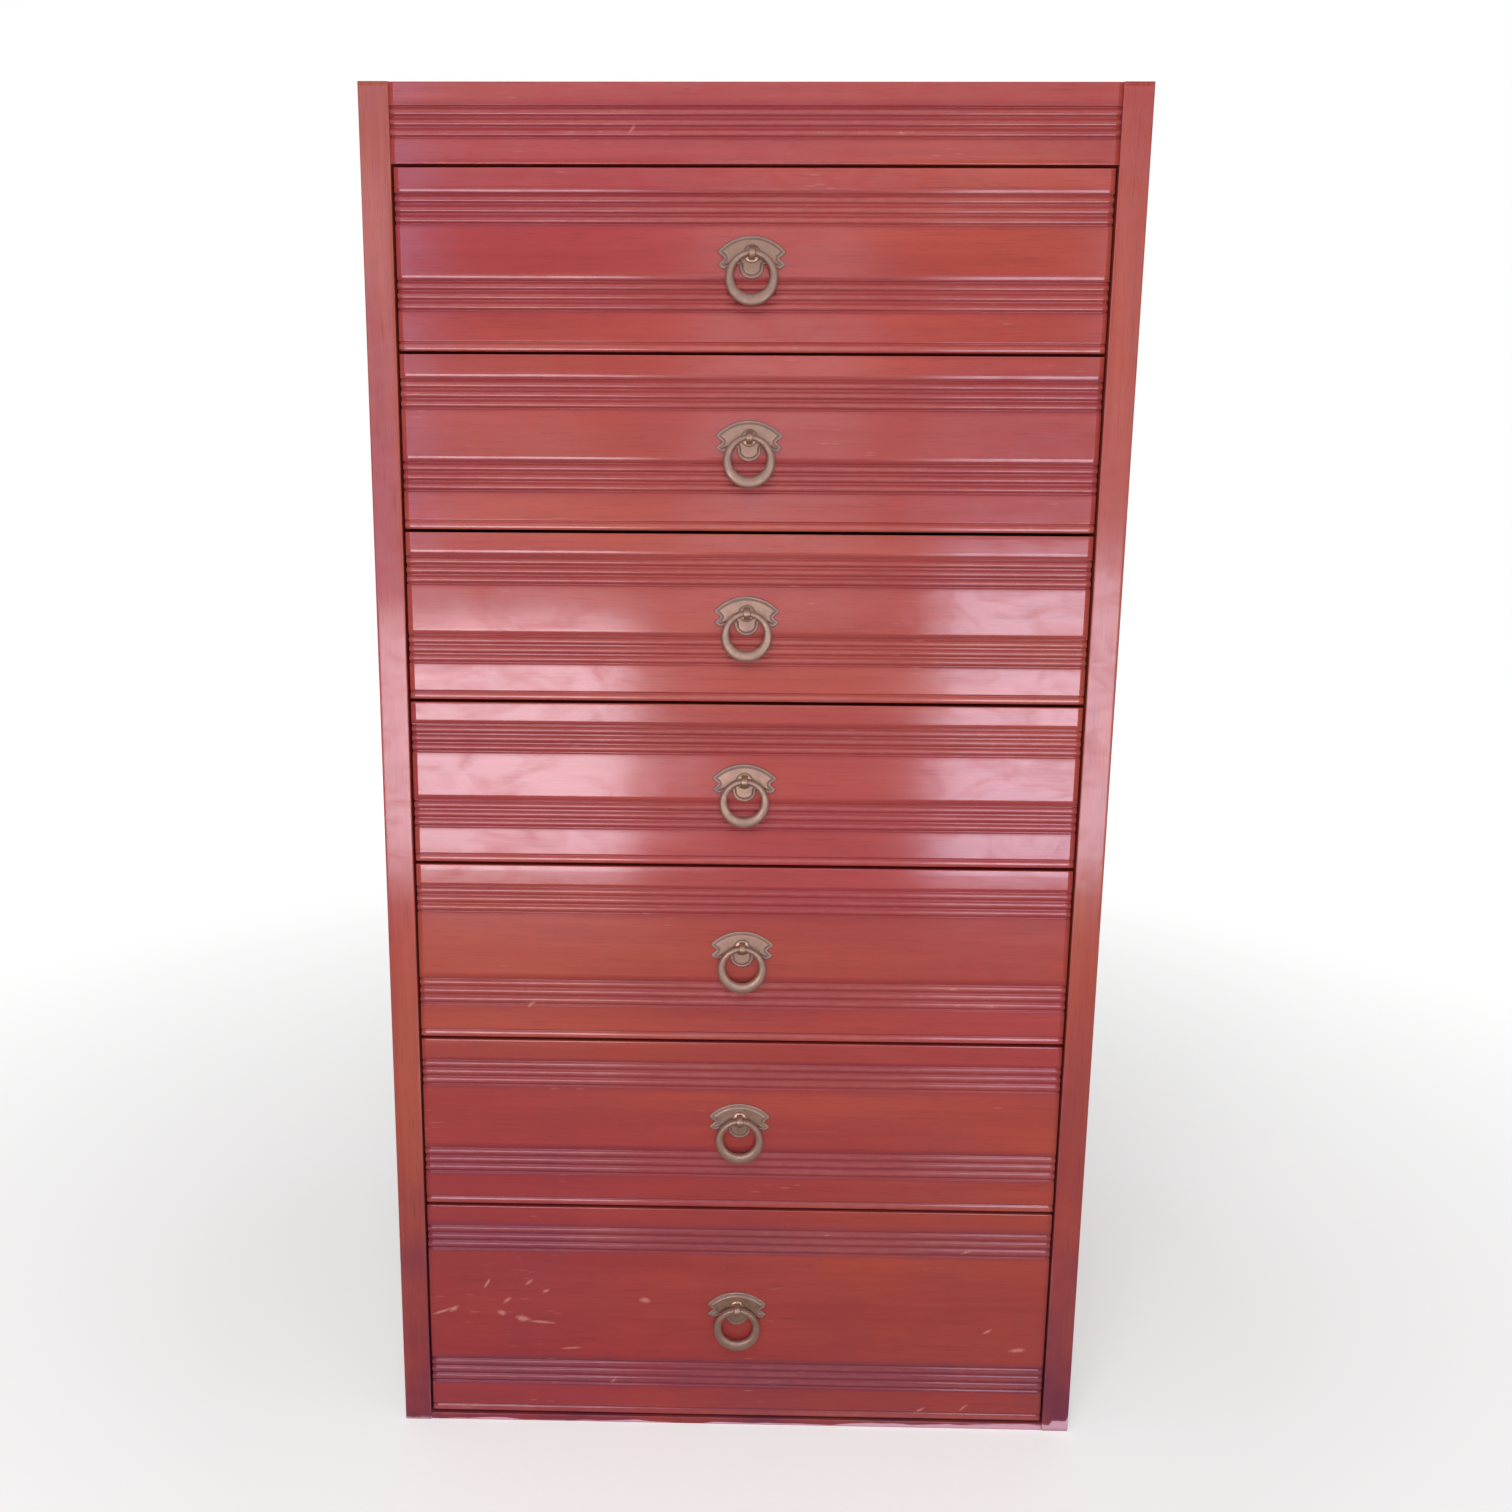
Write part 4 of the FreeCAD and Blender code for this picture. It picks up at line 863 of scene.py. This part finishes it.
class CHEST_OT_mould_fronts(bpy.types.Operator):
    """Lay the reeded and beaded skins over the drawer fronts and the rail"""
    bl_idname = "chest.mould_fronts"
    bl_label = "Mould Fronts and Rail"

    def execute(self, context):
        sizes = setting("moulding")
        wood = finish_of("level_mahogany")
        for drawer in DRAWERS:
            low, high = corners(f"drawer_{drawer}_front")
            width, height = high[0] - low[0], high[2] - low[2]
            bands = [sizes.foot_margin, height - sizes.top_margin - band_height(sizes)]
            grid, marks = moulded_skin(width, height, bands, True, 10 * drawer,
                                       filled=0.26 + 0.045 * drawer)
            grid = turned(grid, (0, 1, 2), (0, low[1], low[2]))
            add_piece(f"drawer_{drawer}_moulding", [(grid, False)], f"drawer_{drawer}",
                      wood, marks)
        low, high = corners("top_rail")
        inner = -corners("side_board_left")[1][0]
        width = 2 * min(inner, high[0])
        height = high[2] - low[2]
        grid, marks = moulded_skin(width, height, [height - sizes.rail_margin - band_height(sizes)],
                                   False, 3, filled=0.25, end_gap=0.1 * MM)
        grid = kept_inside(turned(grid, (0, 1, 2), (0, low[1], low[2])), low, high)
        add_piece("rail_moulding", [(grid, False)], "case", wood, marks)
        return {"FINISHED"}


class CHEST_OT_edge_case(bpy.types.Operator):
    """Lay worn front edges over the side boards and the bottom board"""
    bl_idname = "chest.edge_case"
    bl_label = "Edge the Case"

    def execute(self, context):
        # How high each foot is scuffed, on its inner side and how much more on its outer side,
        # and how much painted cool shade, dark and purple, its top corner gets.
        rubbed = {"left": (3 * MM, 0.0), "right": (6 * MM, 8 * MM)}
        painted_top_shade = {"left": 0.5, "right": 0.15}
        for side in SIDES:
            low, high = corners(f"side_board_{side}")
            thick = high[0] - low[0]
            tall = high[2] - low[2]
            grid, marks = moulded_skin(tall, thick, [], False, 5 + len(side))
            grid = turned(grid, (2, 1, 0), (low[0], low[1], (low[2] + high[2]) / 2))
            grid = kept_inside(grid, low, high)
            out = np.abs(grid[..., 0]) - min(abs(low[0]), abs(high[0]))
            inner_rise, outer_rise = rubbed[side]
            rise = inner_rise + outer_rise * out / thick + 2 * MM * wander(grid[..., 0], 7, 0.02)
            bare = smooth((rise - grid[..., 2]) / (1.5 * MM))
            marks["wear"] = np.maximum(marks["wear"], 2.2 * bare)
            # Painted shade: the top corner of the board is darkened towards purple, standing in for
            # the cool light there.
            dark = painted_top_shade[side] * smooth((grid[..., 2] - 0.9 * tall) / 0.1)
            marks["grime"] = np.maximum(marks["grime"], dark)
            add_piece(f"side_board_{side}_edge", [(grid, False)], "case",
                      finish_of("upright_mahogany"), marks)

        low, high = corners("bottom_board")
        inner = -corners("side_board_left")[1][0]
        height = high[2] - low[2]
        grid, marks = moulded_skin(2 * inner, height, [], False, 8, end_gap=0.1 * MM)
        along = grid[..., 0]
        rise = (0.35 + 0.25 * wander(along, 11, 0.11) + 0.5 * smooth(along / 0.25)) * height
        chipped = smooth((rise - grid[..., 2]) / (1.5 * MM))
        marks["wear"] = np.maximum(marks["wear"], 1.6 * chipped)
        grid = kept_inside(turned(grid, (0, 1, 2), (0, low[1], low[2])), low, high)
        add_piece("bottom_board_edge", [(grid, False)], "case",
                  finish_of("foot_mahogany"), marks)
        return {"FINISHED"}


class CHEST_OT_cast_plates(bpy.types.Operator):
    """Cast the winged plates with their eyes and nuts"""
    bl_idname = "chest.cast_plates"
    bl_label = "Cast Plates and Eyes"

    def execute(self, context):
        sizes = setting("pull")
        brass = finish_of("antique_brass")
        plate, marks = plate_shell(sizes)
        for drawer in DRAWERS:
            eye = eye_of(drawer)
            front = corners(f"drawer_{drawer}_front")
            face, inside = front[0][1], front[1][1]
            body = f"drawer_{drawer}"
            node = f"{body}_pull_plate"
            seat = (eye[0], face, eye[2])
            add_piece(f"{body}_plate", [(plate + seat, True)], body, brass, marks, node)

            fan = sizes.plate_thick + sizes.fan_rise
            lug = lug_shell(sizes, face - fan - sizes.collar_thick / 2 - eye[1])
            edge = sizes.collar_width / 2
            collar = turned_shell([0.5 * MM, edge - 0.3 * MM, edge, edge, edge - 0.5 * MM, 3 * MM,
                                   0.5 * MM],
                                  [fan - 0.2 * MM, fan - 0.2 * MM, fan + 0.2 * MM,
                                   fan + sizes.collar_thick - 0.5 * MM, fan + sizes.collar_thick,
                                   fan + sizes.collar_thick + 0.25 * MM,
                                   fan + sizes.collar_thick + 0.25 * MM])
            collar[..., 1] *= -1
            far = inside - face + sizes.nut_thick + 1.5 * MM
            shank_radius = sizes.shank_width / 2
            shank = turned_shell([shank_radius, shank_radius, shank_radius, shank_radius * 0.8],
                                 [-fan, 0, far - 0.4 * MM, far])
            shells = [(lug + eye, True), (collar + seat, False), (shank + seat, False)]
            rubbed = np.ones(sum(grid[..., 0].size for grid, closed in shells))
            add_piece(f"{body}_eye", shells, body, brass, {"wear": rubbed}, node)

            half = sizes.nut_width / 2
            start = inside - face
            nut = turned_shell([half - 0.5 * MM, half, half, half - 0.5 * MM],
                               [start, start + 0.4 * MM, start + sizes.nut_thick - 0.4 * MM,
                                start + sizes.nut_thick], power=7)
            add_piece(f"{body}_nut", [(nut + seat, False)], body, brass, None, node)
        return {"FINISHED"}


class CHEST_OT_hang_rings(bpy.types.Operator):
    """Hang a ring in every eye"""
    bl_idname = "chest.hang_rings"
    bl_label = "Hang Rings"

    def execute(self, context):
        ring = ring_shell(setting("pull"))
        brass = finish_of("antique_brass")
        for drawer in DRAWERS:
            add_piece(f"drawer_{drawer}_hoop", [(ring + eye_of(drawer), True)],
                      f"drawer_{drawer}_ring", brass,
                      replaced=f"drawer_{drawer}_pull_ring")
        return {"FINISHED"}


class CHEST_OT_finish_boards(bpy.types.Operator):
    """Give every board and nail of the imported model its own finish"""
    bl_idname = "chest.finish_boards"
    bl_label = "Finish Boards"

    def execute(self, context):
        finishes = {"top_rail": "level_mahogany", "bottom_board": "foot_mahogany",
                    "top_board": "pine_across", "back_nails": "rusty_iron"}
        for side in SIDES:
            finishes[f"side_board_{side}"] = "upright_mahogany"
            finishes[f"runners_{side}"] = "runner_wood"
        for place in ("left", "middle", "right"):
            finishes[f"back_board_{place}"] = f"pine_{place}"
        for drawer in DRAWERS:
            finishes[f"drawer_{drawer}_front"] = "level_mahogany"
            finishes[f"drawer_{drawer}_back"] = "oak_across"
            finishes[f"drawer_{drawer}_bottom"] = "panel_across"
            finishes[f"drawer_{drawer}_pull_plate"] = "antique_brass"
            finishes[f"drawer_{drawer}_pull_ring"] = "antique_brass"
            for side in SIDES:
                finishes[f"drawer_{drawer}_side_{side}"] = "oak_lengthwise"
        missing = set(frame["nodes"]) - set(finishes)
        if missing:
            raise RuntimeError(f"no finish for {sorted(missing)}")
        for node, finish in finishes.items():
            mesh = frame["nodes"][node].data
            mesh.materials.clear()
            mesh.materials.append(finish_of(finish))
        return {"FINISHED"}


# The stage

def seen_directly(wires):
    """1 for rays from the camera, from shiny things and through glass, else 0. Then the same
    for rays from shiny things alone."""
    path = wires.add("ShaderNodeLightPath").outputs
    seen = wires.most(path["Is Camera Ray"], path["Is Glossy Ray"])
    return wires.most(seen, path["Is Transmission Ray"]), path["Is Glossy Ray"]


def studio_floor(dim_front):
    """A pale floor that keeps shadows, and fades to white with the distance.

    In the polish its part before the chest stays dim, as the room there does."""
    material = bpy.data.materials.new("studio_floor")
    wires, surface = cleared(material, "ShaderNodeOutputMaterial")
    place = wires.add("ShaderNodeTexCoord").outputs["Object"]
    far = wires.add("ShaderNodeVectorMath", {0: place}, operation="LENGTH").outputs["Value"]
    before = wires.add("ShaderNodeSeparateXYZ", {"Vector": place}).outputs["Y"]
    seen, glossy = seen_directly(wires)
    keep = wires.ramp(before, -0.3, 0.0, dim_front, 1.0)
    keep = wires.ramp(glossy, 0.0, 1.0, 1.0, keep)
    shade = wires.times(keep, 0.86)
    tint = wires.add("ShaderNodeCombineColor", {"Red": shade, "Green": shade, "Blue": shade})
    matte = wires.add("ShaderNodeBsdfDiffuse", {"Color": tint.outputs[0]})
    lift = wires.times(wires.ramp(far, 0.5, 2.2, 0.32, 0.75), seen)
    glow = wires.add("ShaderNodeEmission", {"Color": (1.0, 1.0, 1.0, 1.0),
                                            "Strength": wires.times(lift, keep)})
    both = wires.add("ShaderNodeAddShader", {0: matte.outputs[0], 1: glow.outputs[0]})
    wires.send([(surface, both.outputs[0])])
    return material


def light_room(strength, dim_front):
    """A white surround for the camera, and an even room light of that strength for the rest.

    Shiny things see it white behind the chest and dim before it."""
    world = bpy.data.worlds.new("studio")
    wires, surface = cleared(world, "ShaderNodeOutputWorld")
    way = wires.add("ShaderNodeTexCoord").outputs["Generated"]
    behind = wires.add("ShaderNodeSeparateXYZ", {"Vector": way}).outputs["Y"]
    seen, glossy = seen_directly(wires)
    shown = wires.ramp(behind, 0.1, 0.9, dim_front, 1.0)
    white = wires.ramp(glossy, 0.0, 1.0, 1.0, shown)
    level = wires.ramp(seen, 0.0, 1.0, strength, white)
    sky = wires.add("ShaderNodeBackground", {"Color": (1.0, 1.0, 1.0, 1.0), "Strength": level})
    wires.send([(surface, sky.outputs[0])])
    bpy.context.scene.world = world


def add_lamp(name, place, aim, size, power, tint=(1.0, 1.0, 1.0)):
    """A soft rectangular lamp that faces the aim. Returns its object."""
    lamp = bpy.data.lights.new(name, "AREA")
    lamp.shape = "RECTANGLE"
    lamp.size, lamp.size_y = size
    lamp.energy = power
    lamp.color = tint
    thing = bpy.data.objects.new(name, lamp)
    bpy.context.scene.collection.objects.link(thing)
    away = (np.array(place) - np.array(aim)) / np.linalg.norm(np.array(place) - np.array(aim))
    right = np.cross((0, 0, 1), away)
    right /= np.linalg.norm(right)
    turn = Matrix(np.stack([right, np.cross(away, right), away], axis=1).tolist()).to_4x4()
    thing.matrix_world = Matrix.Translation(place) @ turn
    return thing


# What the polish shows of the room: name, left, right, foot, top, brightness and tint.
REFLECTIONS = [
    ("window_left", -0.69, -0.17, 0.16, 0.625, 0.96, (0.92, 0.87, 1.0)),
    ("window_right", 0.37, 0.78, 0.16, 0.73, 0.92, (0.78, 0.80, 1.0)),
    ("window_middle", -0.14, -0.03, 0.24, 0.42, 0.18, (0.70, 0.75, 1.0)),
    ("doorway", -0.07, 0.23, 0.62, 1.30, 0.12, (0.80, 0.80, 1.0)),
    ("ceiling", -0.50, 0.59, 1.31, 2.00, 0.10, (0.90, 0.85, 1.0)),
    ("sky_left", -0.95, -0.51, 0.64, 2.00, 0.25, (0.25, 0.58, 1.0)),
    ("sky_right", 0.32, 0.59, 0.76, 1.04, 0.10, (0.60, 0.70, 1.0)),
    ("wall_left", -0.50, -0.24, 0.78, 1.04, 0.10, (1.0, 0.75, 0.60)),
    ("wall_right", 0.60, 1.00, 0.76, 2.00, 0.13, (0.70, 0.75, 1.0)),
]


def add_reflections(gloss):
    """Panels behind the camera that only show in the polish and the metal."""
    behind = -1.425
    for name, left, right, foot, top, bright, tint in REFLECTIONS:
        middle = ((left + right) / 2, behind, (foot + top) / 2)
        size = (right - left, top - foot)
        power = gloss * bright * math.pi * size[0] * size[1]
        panel = add_lamp(name, middle, (middle[0], 0.0, middle[2]), size, power, tint)
        panel.visible_diffuse = False


def set_camera(lens):
    """The photograph's camera, by its place and its turns: yaw, pitch down and roll.

    The chest stands left of the picture's middle by as much as the lens is shifted."""
    place = (-0.0237, -1.1678, 0.7462)
    yaw, pitch, roll = (math.radians(angle) for angle in (0.99, -9.72, -0.40))
    turn = (Matrix.Rotation(yaw, 4, "Z") @ Matrix.Rotation(pitch, 4, "X")
            @ Matrix.Rotation(roll, 4, "Y") @ Matrix.Rotation(math.pi / 2, 4, "X"))
    data = bpy.data.cameras.new("camera")
    data.sensor_width = 36.0
    data.lens = lens
    data.shift_x = 0.0413
    camera = bpy.data.objects.new("camera", data)
    camera.matrix_world = Matrix.Translation(place) @ turn
    bpy.context.scene.collection.objects.link(camera)
    bpy.context.scene.camera = camera


class CHEST_OT_set_stage(bpy.types.Operator):
    """Set the floor, the lamps, the room light and the camera"""
    bl_idname = "chest.set_stage"
    bl_label = "Set the Stage"

    def execute(self, context):
        studio = setting("studio")
        reach = 6.0
        mesh = bpy.data.meshes.new("floor")
        mesh.from_pydata([(-reach, -reach, 0), (reach, -reach, 0), (reach, reach, 0),
                          (-reach, reach, 0)], [], [(0, 1, 2, 3)])
        mesh.materials.append(studio_floor(studio.dim_front))
        floor = bpy.data.objects.new("floor", mesh)
        context.scene.collection.objects.link(floor)
        light_room(studio.room_light, studio.dim_front)
        middle = (0.0, -0.2, 0.6)
        for name, place, power in (("key", (-0.3, -1.7, 2.45), studio.key_power),
                                   ("fill", (0.0, -2.4, 0.75), studio.fill_power)):
            add_lamp(name, place, middle, (1.0, 1.0), power).visible_glossy = False
        add_reflections(studio.gloss)
        set_camera(studio.lens)
        context.scene.view_settings.view_transform = "Standard"
        return {"FINISHED"}


STEPS = (CHEST_OT_mould_fronts, CHEST_OT_edge_case, CHEST_OT_cast_plates, CHEST_OT_hang_rings,
         CHEST_OT_finish_boards, CHEST_OT_set_stage)


class CHEST_PT_steps(bpy.types.Panel):
    """The steps that dress the chest, in order"""
    bl_idname = "CHEST_PT_steps"
    bl_label = "Reeded Chest"
    bl_space_type = "VIEW_3D"
    bl_region_type = "UI"
    bl_category = "Reeded Chest"

    def draw(self, context):
        for step in STEPS:
            self.layout.operator(step.bl_idname)


def register():
    for group in GROUPS.values():
        bpy.utils.register_class(group)
    for word, group in GROUPS.items():
        setattr(bpy.types.Scene, word, PointerProperty(type=group))
    for step in STEPS:
        bpy.utils.register_class(step)
    bpy.utils.register_class(CHEST_PT_steps)


def unregister():
    bpy.utils.unregister_class(CHEST_PT_steps)
    for step in reversed(STEPS):
        bpy.utils.unregister_class(step)
    for word in GROUPS:
        delattr(bpy.types.Scene, word)
    for group in reversed(list(GROUPS.values())):
        bpy.utils.unregister_class(group)


def main():
    register()
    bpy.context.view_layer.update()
    bpy.ops.chest.mould_fronts()
    bpy.ops.chest.edge_case()
    bpy.ops.chest.cast_plates()
    bpy.ops.chest.hang_rings()
    bpy.ops.chest.finish_boards()
    bpy.ops.chest.set_stage()


if __name__ == "__main__":
    main()
